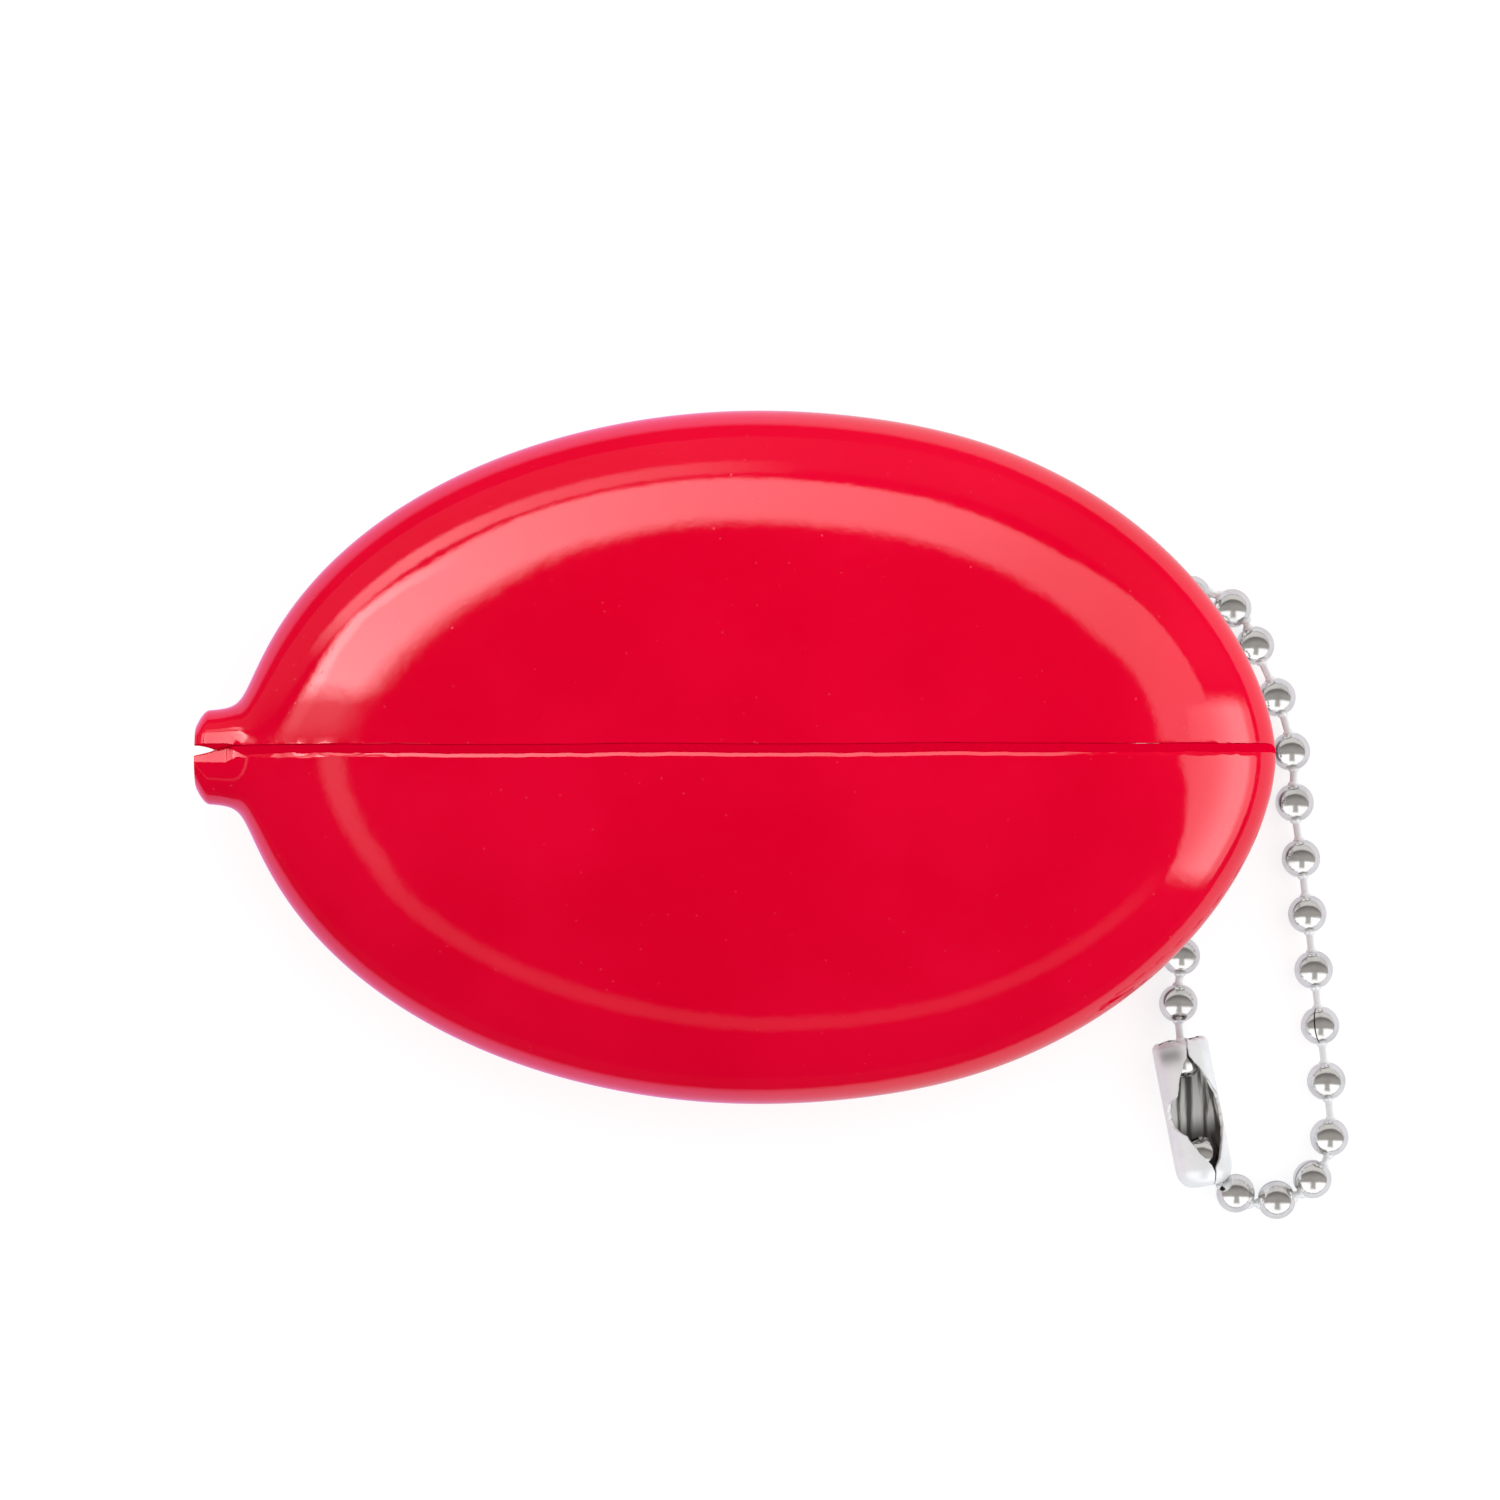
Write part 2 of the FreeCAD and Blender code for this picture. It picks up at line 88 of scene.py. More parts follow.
SIDEWAYS = np.array([1.0, 0.0, 0.0])
LOG = logging.getLogger("purse")
Colour = tuple[float, float, float]
Triple = tuple[float, float, float]
Pair = tuple[float, float]
Span = tuple[float, float]
Row = tuple[float, ...]
Line = tuple[Row, Row]
Array = np.ndarray
Piece = bpy.types.Object
Finish = bpy.types.Material
Socket = bpy.types.NodeSocket


def smooth(values: Array, low: Any, high: Any) -> Array:
    """Ease from 0 at low to 1 at high, as 3t^2 - 2t^3 of the share t of the way.

    Args:
        values: where to read the step.
        low: the value or values at which it starts.
        high: the value or values at which it ends.

    Returns:
        The step at each value.
    """
    share = np.clip((values - low) / (high - low), 0.0, 1.0)
    return share * share * (3.0 - 2.0 * share)


def window(values: Array, rise: tuple[Any, Any], fall: tuple[Any, Any]) -> Array:
    """Ease from 0 to 1 over the span of the rise, and back to 0 over the span of the fall."""
    return smooth(values, *rise) * (1.0 - smooth(values, *fall))


def blend(first: Any, second: Any, share: Array) -> Array:
    """Go from first to second in a straight line as share goes from 0 to 1."""
    return first + (second - first) * share


def positive(values: Any, soft: float) -> Any:
    """Hold values above zero with a soft corner: half of v + the root of v^2 + soft^2."""
    return (values + np.sqrt(values**2 + soft**2)) / 2.0


def unit(vectors: Array) -> Array:
    """Scale vectors along the last axis to length 1."""
    return vectors / np.linalg.norm(vectors, axis=-1, keepdims=True)


@dataclass(frozen=True)
class Waver:
    """A smooth random line: seeded values at even steps, joined by eased runs.

    It strays by up to its size, and its random values stand a pitch apart. The least is what
    is left of it where a weight is 0.
    """

    size: float
    pitch: float
    seed: int
    least: float = 0.0

    def at(self, places: Array, shift: int = 0) -> Array:
        """Read the line.

        Args:
            places: where to read it, along one direction.
            shift: a number added to the seed.

        Returns:
            Values from -size to size, the same in every run.
        """
        steps = np.floor((places - places.min()) / self.pitch).astype(int)
        share = smooth((places - places.min()) / self.pitch - steps, 0.0, 1.0)
        knots = np.random.default_rng(self.seed + shift).uniform(-1.0, 1.0, steps.max() + 2)
        return self.size * blend(knots[steps], knots[steps + 1], share)

    def weighted(self, places: Array, weight: Array, shift: int = 0) -> Array:
        """Read the line scaled by a weight, to which the line's least weight is added."""
        return self.at(places, shift) * (self.least + weight)


class Value:
    """A number that varies over a surface: wraps a socket, so that maths on it adds nodes."""

    def __init__(self, recipe: "Recipe", socket: Socket) -> None:
        """Keep the recipe that owns the socket, and the socket."""
        self.recipe = recipe
        self.socket = socket

    def __add__(self, other: Any) -> "Value":
        """self + other."""
        return self.recipe.maths("ADD", self, other)

    def __sub__(self, other: Any) -> "Value":
        """self - other."""
        return self.recipe.maths("SUBTRACT", self, other)

    def __rsub__(self, other: Any) -> "Value":
        """other - self."""
        return self.recipe.maths("SUBTRACT", other, self)

    def __mul__(self, other: Any) -> "Value":
        """self * other."""
        return self.recipe.maths("MULTIPLY", self, other)

    __radd__ = __add__
    __rmul__ = __mul__

    def step(self, low: float, high: float) -> "Value":
        """Ease from 0 to 1 as this goes from low to high.

        Args:
            low: where the step starts.
            high: where it ends.

        Returns:
            The step.
        """
        settings = {"interpolation_type": "SMOOTHSTEP"}
        sockets = {"Value": self, "From Min": low, "From Max": high}
        return self.recipe.value("ShaderNodeMapRange", settings, sockets, "Result")

    def over(self, other: Any) -> "Value":
        """The greater of this and other."""
        return self.recipe.maths("MAXIMUM", self, other)


class Recipe:
    """The nodes of one material or of the world."""

    def __init__(self, tree: bpy.types.NodeTree) -> None:
        """Start from an empty tree."""
        self.tree = tree
        tree.nodes.clear()

    def node(self, kind: str, settings: dict[str, Any], sockets: dict[Any, Any]) -> bpy.types.Node:
        """Add a node: its settings are set first, then its sockets are filled or linked.

        Args:
            kind: the node's type.
            settings: its properties.
            sockets: for each input's name or number, a Value, a socket or a constant.

        Returns:
            The node.
        """
        made = self.tree.nodes.new(kind)
        for name, value in settings.items():
            setattr(made, name, value)
        for name, value in sockets.items():
            source = value.socket if isinstance(value, Value) else value
            if isinstance(source, Socket):
                self.tree.links.new(source, made.inputs[name])
            else:
                made.inputs[name].default_value = source
        return made

    def value(self, kind: str, settings: dict[str, Any], sockets: dict[Any, Any], out: Any) -> Value:
        """Add a node and wrap one of its outputs, given by its name or number."""
        return Value(self, self.node(kind, settings, sockets).outputs[out])

    def maths(self, operation: str, first: Any, second: Any) -> Value:
        """Add a Math node on two numbers."""
        return self.value("ShaderNodeMath", {"operation": operation}, {0: first, 1: second}, 0)

    def mix(self, share: Any, first: Any, second: Any) -> Value:
        """Mix two colours.

        Args:
            share: 0 for the first colour, 1 for the second.
            first: a colour, or a wrapped colour output.
            second: the same.

        Returns:
            The mixed colour.
        """
        settings = {"data_type": "RGBA", "clamp_factor": True}
        full = [c if isinstance(c, Value) else (*c, 1.0) for c in (first, second)]
        return self.value("ShaderNodeMix", settings, {0: share, 6: full[0], 7: full[1]}, 2)

    def attribute(self, name: str) -> Value:
        """Read a number that the mesh carries at its points."""
        return self.value("ShaderNodeAttribute", {"attribute_name": name}, {}, "Fac")

    def ray(self, kind: str) -> Value:
        """1 for the rays of a kind, such as Camera or Glossy, and 0 for all others."""
        return self.value("ShaderNodeLightPath", {}, {}, f"Is {kind} Ray")

    def place(self, scale: Triple = (1.0, 1.0, 1.0), shift: Triple = (0.0, 0.0, 0.0)) -> Socket:
        """Object coordinates, scaled along each axis and then shifted.

        Args:
            scale: the factor along each axis.
            shift: what is added after that.

        Returns:
            The coordinates.
        """
        where = self.node("ShaderNodeTexCoord", {}, {}).outputs["Object"]
        sockets = {"Vector": where, "Scale": scale, "Location": shift}
        return self.node("ShaderNodeMapping", {}, sockets).outputs[0]

    def part(self, vector: Socket, axis: str) -> Value:
        """One part of a vector: X, Y or Z."""
        return self.value("ShaderNodeSeparateXYZ", {}, {0: vector}, axis)

    def square(self, vector: Socket) -> Value:
        """The square of a vector's length."""
        settings = {"operation": "DOT_PRODUCT"}
        return self.value("ShaderNodeVectorMath", settings, {0: vector, 1: vector}, "Value")

    def noise(self, scale: float, detail: float, place: Socket) -> Value:
        """Soft noise around 0.5, with this many features to the metre."""
        sockets = {"Vector": place, "Scale": scale, "Detail": detail}
        return self.value("ShaderNodeTexNoise", {}, sockets, "Fac")

    def bump(self, height: Value, strength: float, distance: float) -> Socket:
        """A bumped normal from a height between 0 and 1, where 1 stands for the distance."""
        sockets = {"Height": height, "Strength": strength, "Distance": distance}
        return self.node("ShaderNodeBump", {}, sockets).outputs[0]

    def principled(self, sockets: dict[str, Any]) -> Socket:
        """A Principled shader with these inputs."""
        return self.node("ShaderNodeBsdfPrincipled", {}, sockets).outputs[0]

    def output(self, shader: Socket) -> None:
        """Use a shader as the material's surface."""
        self.node("ShaderNodeOutputMaterial", {}, {"Surface": shader})


def fresh(name: str) -> tuple[Finish, Recipe]:
    """Start a material.

    Args:
        name: its name.

    Returns:
        The material and its empty recipe.
    """
    material = bpy.data.materials.new(name)
    material.use_nodes = True
    return material, Recipe(material.node_tree)


@dataclass(frozen=True)
class Vinyl:
    """Soft vinyl: red, faintly clouded, with orange peel and rare specks; dull on its inside."""

    name: str = "red_vinyl"
    deep: Colour = (0.70, 0.0, 0.021)
    light: Colour = (0.75, 0.001, 0.027)
    cut: Colour = (0.63, 0.0, 0.021)
    speck: Colour = (0.90, 0.10, 0.14)
    ior: float = 1.5
    gloss: float = 0.055
    peel_gloss: float = 0.05
    speck_gloss: float = 0.1
    speck_share: float = 0.22
    cloud_scale: float = 55.0
    peel_scale: float = 900.0
    grit_scale: float = 5200.0
    speck_scale: float = 900.0
    patch_scale: float = 310.0
    cloud_span: Span = (0.35, 0.65)
    grit_span: Span = (0.3, 0.7)
    speck_span: Span = (0.04, 0.10)
    patch_span: Span = (0.42, 0.54)
    peel_rise: float = 0.5
    grit_rise: float = 0.06
    cut_rise: float = 0.7
    speck_rise: float = 0.25
    bump_strength: float = 0.12
    bump_depth: float = 0.0001

    def make(self) -> Finish:
        """Build the material.

        Returns:
            The material; the attribute matte marks the cut edges and the dull inner wall.
        """
        material, recipe = fresh(self.name)
        place = recipe.place()
        cloud = recipe.noise(self.cloud_scale, 3.0, place)
        peel = recipe.noise(self.peel_scale, 2.0, place)
        grit = recipe.noise(self.grit_scale, 2.0, place)
        matte = recipe.attribute("matte")
        sockets = {"Vector": place, "Scale": self.speck_scale}
        cells = recipe.value("ShaderNodeTexVoronoi", {"feature": "F1"}, sockets, "Distance")
        patch = recipe.noise(self.patch_scale, 0.0, place).step(*self.patch_span)
        speck = (1.0 - cells.step(*self.speck_span)) * patch
        body = recipe.mix(cloud.step(*self.cloud_span), self.deep, self.light)
        edge = recipe.mix(grit.step(*self.grit_span), self.cut, self.deep)
        height = peel * self.peel_rise + grit * self.grit_rise
        height = height + matte * grit * self.cut_rise + speck * self.speck_rise
        normal = recipe.bump(height, self.bump_strength, self.bump_depth)
        shiny = {
            "Base Color": recipe.mix(speck * self.speck_share, body, self.speck),
            "Roughness": self.gloss + (peel - 0.5) * self.peel_gloss + speck * self.speck_gloss,
            "Normal": normal,
            "IOR": self.ior,
        }
        dull = {"Base Color": edge, "Roughness": 1.0, "Specular IOR Level": 0.0, "Normal": normal}
        sockets = {0: matte, 1: recipe.principled(shiny), 2: recipe.principled(dull)}
        recipe.output(recipe.node("ShaderNodeMixShader", {}, sockets).outputs[0])
        return material


@dataclass(frozen=True)
class Nickel:
    """Nickel plate on rolled steel: bright outside, with dark seams and a brushed grey inside.

    The inside is nearly matte. Its brush marks are painted as pale and dark streaks, which are painted
    highlights and painted shade in place of its reflections.
    """

    name: str = "nickel_plate"
    bright: Colour = (0.86, 0.855, 0.845)
    worn: Colour = (0.72, 0.715, 0.71)
    seam: Colour = (0.06, 0.055, 0.05)
    # Painted highlights and painted shade: the inside's grey and pale streak colours stand in for its
    # reflections.
    inner: Colour = (0.13, 0.125, 0.115)
    streak: Colour = (1.0, 0.99, 0.96)
    metal: float = 1.0
    inner_loss: float = 0.8
    gloss: float = 0.145
    worn_gloss: float = 0.10
    inner_gloss: float = 0.15
    seam_gloss: float = 0.3
    wear_scale: float = 700.0
    fine_scale: float = 4200.0
    stroke_scale: Triple = (1700.0, 110.0, 1700.0)
    worn_span: Span = (0.4, 0.75)
    gloss_span: Span = (0.45, 0.8)
    stroke_span: Span = (0.40, 0.60)
    wear_rise: float = 0.5
    fine_rise: float = 0.25
    stroke_rise: float = 0.4
    bump_strength: float = 0.28
    bump_depth: float = 0.0001

    def make(self) -> Finish:
        """Build the material.

        Returns:
            The material. Its seam attribute marks the dark joints, and on the sleeve a darker patch and
            painted shade; its inner attribute marks its inside.
        """
        material, recipe = fresh(self.name)
        place = recipe.place()
        wear = recipe.noise(self.wear_scale, 4.0, place)
        fine = recipe.noise(self.fine_scale, 3.0, place)
        brush_and_sheen = recipe.noise(1.0, 3.0, recipe.place(self.stroke_scale))
        seam = recipe.attribute("seam")
        inner = recipe.attribute("inner")
        outside = recipe.mix(wear.step(*self.worn_span), self.bright, self.worn)
        # Painted highlights and painted shade: the brush pattern mixes pale and dark streaks inside, in
        # place of reflections.
        inside = recipe.mix(brush_and_sheen.step(*self.stroke_span), self.inner, self.streak)
        rough = self.gloss + wear.step(*self.gloss_span) * self.worn_gloss
        height = wear * self.wear_rise + fine * self.fine_rise + inner * brush_and_sheen * self.stroke_rise
        # The seam colour marks the dark joints, and on the sleeve also a darker patch and painted
        # shade.
        sockets = {
            "Base Color": recipe.mix(seam, recipe.mix(inner, outside, inside), self.seam),
            "Metallic": self.metal - inner * (self.inner_loss * self.metal),
            "Roughness": rough + inner * self.inner_gloss + seam * self.seam_gloss,
            "Normal": recipe.bump(height, self.bump_strength, self.bump_depth),
        }
        recipe.output(recipe.principled(sockets))
        return material


@dataclass(frozen=True)
class TableTop:
    """A white table: to the camera plain white but for shadows, to what shines a tinted glow.

    To what shines it shows painted light and painted shade: a glow only round the purse,
    violet towards the neck and grey towards the chain, painted shadow below the purse, and dark
    further off. Sizes are half axes in metres, and spans are in shares of them.
    """

    name: str = "white_table"
    white: Colour = (0.85, 0.85, 0.85)
    seen: Colour = (0.50, 0.385, 0.38)
    seen_glow: Colour = (0.645, 0.725, 0.73)
    # To what shines: grey paint near the purse and dark further off, a painted glow round the purse,
    # and painted shadow below it.
    near: Colour = (0.30, 0.30, 0.30)
    far: Colour = (0.02, 0.02, 0.02)
    left_painted_glow: Colour = (0.66, 0.36, 0.86)
    right_painted_glow: Colour = (0.50, 0.50, 0.54)
    painted_dark_glow: Colour = (0.01, 0.01, 0.01)
    no_glow: Colour = (0.0, 0.0, 0.0)
    near_size: Pair = (0.105, 0.0565)
    near_shift: float = -0.33
    near_span: Span = (1.0, 1.9)
    tint_span: Span = (-0.43, -0.19)
    painted_shadow_size: Pair = (0.038, 0.024)
    painted_shadow_span: Span = (0.75, 1.05)

    def make(self) -> Finish:
        """Build the material.

        Returns:
            The material.
        """
        material, recipe = fresh(self.name)
        camera = recipe.ray("Camera")
        shine = recipe.ray("Glossy").over(recipe.ray("Transmission"))
        scale = (1.0 / self.near_size[0], 1.0 / self.near_size[1], 0.0)
        around = recipe.place(scale, (self.near_shift, 0.0, 0.0))
        # Painted shadow: what shines sees the table dark below the purse.
        below = recipe.place((1.0 / self.painted_shadow_size[0], 1.0 / self.painted_shadow_size[1], 0.0))
        near = 1.0 - recipe.square(around).step(*self.near_span)
        clear_of_painted_shadow = recipe.square(below).step(*self.painted_shadow_span)
        share = recipe.part(around, "X").step(*self.tint_span)
        tint = recipe.mix(share, self.left_painted_glow, self.right_painted_glow)
        # Painted reflection: to what shines the table is grey near the purse, dark further off, and
        # glows round it, violet towards the neck.
        paint = recipe.mix(shine, self.white, recipe.mix(near, self.far, self.near))
        glow = recipe.mix(shine, self.no_glow, recipe.mix(near * clear_of_painted_shadow, self.painted_dark_glow, tint))
        sockets = {
            "Base Color": recipe.mix(camera, paint, self.seen),
            "Roughness": 1.0,
            "Specular IOR Level": 0.0,
            "Emission Color": recipe.mix(camera, glow, self.seen_glow),
            "Emission Strength": 1.0,
        }
        recipe.output(recipe.principled(sockets))
        return material


def add(name: str, data: bpy.types.ID) -> Piece:
    """Put an object in the scene.

    Args:
        name: its name.
        data: its mesh or camera.

    Returns:
        The object.
    """
    made = bpy.data.objects.new(name, data)
    bpy.context.scene.collection.objects.link(made)
    return made


def mark(mesh: bpy.types.Mesh, label: str, numbers: Array) -> None:
    """Give each point of a mesh a number, as an attribute of this name."""
    layer = mesh.attributes.new(label, "FLOAT", "POINT")
    layer.data.foreach_set("value", numbers.astype(np.float32).ravel())


def surface(
    name: str,
    grid: Array,
    material: Finish,
    marks: dict[str, Array] | None = None,
    caps: bool = True,
    crease: float = 30.0,
) -> Piece:
    """Make a mesh object of a grid of points whose columns run round in a closed ring.

    Faces join each point to the next row and the next column, the last column joins the first,
    and a face closes each end. If the signed volume comes out negative the faces are turned.

    Args:
        name: the piece's name.
        grid: points in millimetres, rows by columns by 3.
        material: its finish.
        marks: numbers per point, rows by columns, kept as attributes of those names.
        caps: whether the first and last rows are closed by a face; otherwise they join up.
        crease: edges that turn by more degrees than this stay sharp.

    Returns:
        The object, in the scene.
    """
    rows, columns = grid.shape[:2]
    spans = rows - 1 if caps else rows
    index = np.arange(rows * columns).reshape(rows, columns)
    here = index[:spans]
    after = np.roll(index, -1, axis=0)[:spans]
    quads = np.stack([here, np.roll(here, -1, 1), np.roll(after, -1, 1), after], -1)
    faces = quads.reshape(-1, 4).tolist()
    if caps:
        faces += [index[0, ::-1].tolist(), index[-1].tolist()]
    mesh = bpy.data.meshes.new(name)
    mesh.from_pydata((grid.reshape(-1, 3) * MM).tolist(), [], faces)
    for label, numbers in (marks or {}).items():
        mark(mesh, label, numbers)
    mesh.calc_loop_triangles()
    corners = np.empty(len(mesh.loop_triangles) * 3, dtype=np.int32)
    mesh.loop_triangles.foreach_get("vertices", corners)
    flat = grid.reshape(-1, 3)[corners].reshape(-1, 3, 3)
    if np.einsum("ij,ij->i", flat[:, 0], np.cross(flat[:, 1], flat[:, 2])).sum() < 0:
        mesh.flip_normals()
    mesh.shade_smooth()
    mesh.set_sharp_from_angle(angle=math.radians(crease))
    mesh.materials.append(material)
    return add(name, mesh)


def turned(profile: Array, angles: Array, middle: Array, axis: Array) -> Array:
    """Turn a profile about an axis: point = middle + along * axis + radius * (cos u + sin v).

    Args:
        profile: radius and place along the axis of each point, points by 2.
        angles: the angles at which the profile stands, from straight up where the axis allows.
        middle: the place of the profile's own zero.
        axis: the axis's direction.

    Returns:
        Points, profile points by angles by 3.
    """
    across = unit(np.cross(axis, UP if abs(axis[2]) < STEEP else SIDEWAYS))
    upward = np.cross(across, axis)
    ring = np.cos(angles)[:, None] * upward + np.sin(angles)[:, None] * across
    return middle + profile[:, 1, None, None] * axis + profile[:, 0, None, None] * ring


class Side(Enum):
    """The two halves of the shell, either side of the slit."""

    UPPER = 1
    LOWER = -1


@dataclass
class PurseShell:
    """The hollow vinyl shell: two halves that meet underneath and part along the slit.

    A pair that belongs to a lip is its size along the slit, and at the neck's facet. Depths in
    a lip are shares of the wall.
    """

    # The body, its neck and its wall.
    half_width: float = 26.5
    half_depth: float = 11.0
    equator: float = 10.6
    left_reach: float = 39.5
    right_reach: float = 39.42
    oval_soft: float = 0.045
    point_powers: Pair = (2.25, 1.7)
    point_span: Span = (0.0, 20.0)
    neck_radius: float = 3.5
    neck_end: float = -43.03
    neck_root: float = -41.2
    shoulder: float = -35.0
    neck_span: Span = (-34.0, -8.0)
    neck_round: float = 1.9
    wide_trim: float = 0.31
    deep_trim: float = 0.03
    wall: float = 2.0
    wall_soft: float = 0.1
    bore: float = 1.8
    bored_size: float = 4.0
    foot_soft: float = 0.02
    # The line of the slit, and the notch in which it ends at the neck.
    contact: float = 1.04
    slant: float = 0.0015
    hairline: float = 0.008
    slit_round: float = 1.7
    left_span: Span = (-36.0, -24.0)
    right_span: Span = (27.0, 38.0)
    facet_span: Span = (-40.7, -39.3)
    notch_span: Span = (-41.6, -39.6)
    under_span: Span = (-41.0, -38.0)
    notch_middle: float = 0.61
    notch_width: float = 0.9
    notch_depth: float = 1.5
    notch_power: float = 0.7
    neck_lip: float = -0.40
    neck_rim: float = 2.04
    neck_edge: float = 1.18
    long_sway: Waver = Waver(0.05, 7.0, 11)
    short_sway: Waver = Waver(0.03, 1.9, 12, 0.3)
    fine_rough: Waver = Waver(0.05, 0.55, 21, 0.25)
    broad_rough: Waver = Waver(0.03, 1.3, 31)
    # The lower lip, then the upper one.
    lower_bevel: Pair = (0.67, 0.10)
    lower_least: float = 0.05
    lower_crest: float = 0.26
    lower_waver: Waver = Waver(0.45, 2.3, 41)
    lower_drop: float = 0.062
    lower_slope: float = 0.26
    lower_round: Waver = Waver(0.12, 0.8, 43, 0.4)
    lower_ledge: Pair = (0.0, 0.17)
    upper_bevel: float = 0.025
    upper_least: float = 0.018
    upper_rough: float = 0.2
    upper_crest: float = 0.12
    upper_drop: Pair = (0.010, -0.27)
    upper_burr: Pair = (-0.012, -0.135)
    upper_waver: Waver = Waver(1.0, 0.6, 44, 0.2)
    burr_share: float = 0.1
    upper_ledge: Pair = (0.09, 0.03)
    corner: Pair = (0.015, 0.01)
    # The chain's holes, the bend of the lips, and how finely all is divided.
    hole_radius: float = 1.9
    holes: dict[Side, Pair] = field(
        default_factory=lambda: {Side.UPPER: (28.5, 4.5), Side.LOWER: (31.83, -4.03)}
    )
    drill_ends: Pair = (-3.0, 6.0)
    probe: float = 0.05
    bend_start: float = 3.6
    crease: float = 17.0
    station_counts: tuple[int, ...] = (44, 62, 100, 190)
    last_angle: float = 89.6
    outer_points: int = 104
    inner_points: int = 48
    hole_points: int = 48

    def stations(self) -> Array:
        """Places along X: closest at the neck's end and root, and towards the round end.

        Returns:
            The places, from left to right.
        """
        knots = (self.neck_end, self.neck_root, self.shoulder, 0.0)
        spans = zip(knots, knots[1:], self.station_counts)
        left = [np.linspace(start, end, count, endpoint=False) for start, end, count in spans]
        angles = np.linspace(0.0, self.last_angle, self.station_counts[-1])
        return np.concatenate([*left, self.right_reach * np.sin(np.radians(angles))])

    def section(self, x: Array, broad: float, trim: float = 0.0) -> Array:
        """Half size of the cross-section at each place along X.

        Left of the middle it is an ellipse run softly into the round neck, as the cube root of
        the sum of their cubes. Right of it the ellipse eases into a slightly pointed oval.

        Args:
            x: places along X.
            broad: the half size at the middle, sideways or upright.
            trim: the share by which the neck's end is rounded in.

        Returns:
            The half sizes.
        """
        bare = 1.0 - (x / self.left_reach) ** 2
        oval = np.sqrt(positive(bare, self.oval_soft) / positive(1.0, self.oval_soft))
        eased = 1.0 - trim * (1.0 - np.clip(x - self.neck_end, 0.0, 1.0)) ** self.neck_round
        neck = self.neck_radius**3 * (1.0 - smooth(x, *self.neck_span))
        left = np.cbrt(neck + (broad * oval) ** 3) * eased
        share = np.clip(x / self.right_reach, 0.0, 1.0)
        ellipse = np.sqrt(1.0 - share**2)
        pointed = (1.0 - share ** self.point_powers[0]) ** (1.0 / self.point_powers[1])
        right = broad * blend(ellipse, pointed, smooth(x, *self.point_span))
        return np.where(x < 0.0, left, right)

    def notch(self, x: Array) -> Array:
        """Half the gap between the halves: widest at the neck's end, closing at its root."""
        close = np.clip((x - self.neck_end) / self.notch_depth, 0.0, 1.0)
        return self.notch_width / 2.0 * (1.0 - close) ** self.notch_power

    def inset(self, size: Array) -> Array:
        """The inner wall's half size: the outer less the wall, never quite closing up.

        Args:
            size: the outer half sizes; at the neck the bore takes its share of them.

        Returns:
            The inner half sizes.
        """
        bored = np.minimum(self.wall, size - self.bore * size / self.neck_radius)
        thick = np.where(size < self.bored_size, bored, self.wall)
        return positive(size - thick, self.wall_soft)

    def lip(self, side: Side, x: Array, wide: Array) -> tuple[Array, Array]:
        """The slit's edge in plan and depth: a rounded lip, a matte bevel, then a straight wall.

        Args:
            side: which half.
            x: places along X.
            wide: the half widths there.

        Returns:
            Distances across, and depths as shares of the wall, each stations by 6.
        """
        way = side.value
        facet = 1.0 - smooth(x, *self.facet_span)
        calm = 1.0 - facet
        ends = np.maximum(1.0 - smooth(x, *self.left_span), smooth(x, *self.right_span))
        neck = 1.0 - smooth(x, *self.notch_span)
        middle = blend(self.contact + self.slant * x, self.notch_middle, neck)
        sway = (self.long_sway.at(x) + self.short_sway.weighted(x, ends)) * calm
        meet = middle + sway + way * (self.hairline + self.notch(x))
        rough = (self.fine_rough.weighted(x, ends, way) + self.broad_rough.at(x, way)) * calm
        if side is Side.LOWER:
            bevel = np.maximum(blend(*self.lower_bevel, facet) + rough, self.lower_least)
            crest = self.lower_crest * (1.0 + self.lower_waver.weighted(x, ends))
            crest = blend(crest, meet - bevel - self.neck_lip, facet)
            low = blend(self.lower_drop, self.lower_slope * crest, facet)
            high = low * (0.5 + self.lower_round.weighted(x, ends) * calm)
            ledge = blend(*self.lower_ledge, facet)
        else:
            bevel = blend(self.upper_bevel, self.neck_edge - meet, facet) + self.upper_rough * rough
            bevel = np.maximum(bevel, self.upper_least)
            crest = blend(self.upper_crest, self.neck_rim - meet - bevel, facet)
            low = blend(*self.upper_drop, facet)
            burr = np.clip(self.burr_share + self.upper_waver.at(x), 0.0, 1.0)
            burr = self.upper_burr[0] * burr * (self.upper_waver.least + ends)
            high = blend(burr, self.upper_burr[1], facet)
            ledge = blend(*self.upper_ledge, facet)
        out = [crest + bevel, 0.5 * crest + bevel, bevel, bevel - self.corner[0], 0.0 * x, 0.0 * x]
        across = meet[:, None] + way * np.stack(out, -1)
        down = np.stack([0.0 * x, high, low, low + self.corner[1], ledge, 1.0 + 0.0 * x], -1)
        return across * (wide / np.sqrt(wide**2 + self.slit_round**2))[:, None], down

    def arc(self, way: int, wide: Array, deep: Array, top: Array, foot: Array, count: int) -> Array:
        """An elliptic arc at every station, from the slit round one side to the underside.

        Args:
            way: 1 for the upper half, -1 for the lower.
            wide: half widths.
            deep: half depths.
            top: distances across at which the arcs start, above.
            foot: distances across at which they end, below.
            count: points in each arc.

        Returns:
            Distances across and heights, stations by count by 2.
        """
        start = np.arccos(np.clip(way * top / wide, -1.0, 1.0))
        finish = -np.arccos(np.clip(way * foot / wide, -1.0, 1.0))
        angle = blend(start[:, None], finish[:, None], np.linspace(0.0, 1.0, count)[None, :])
        high = self.equator + deep[:, None] * np.sin(angle)
        return np.stack([way * wide[:, None] * np.cos(angle), high], -1)

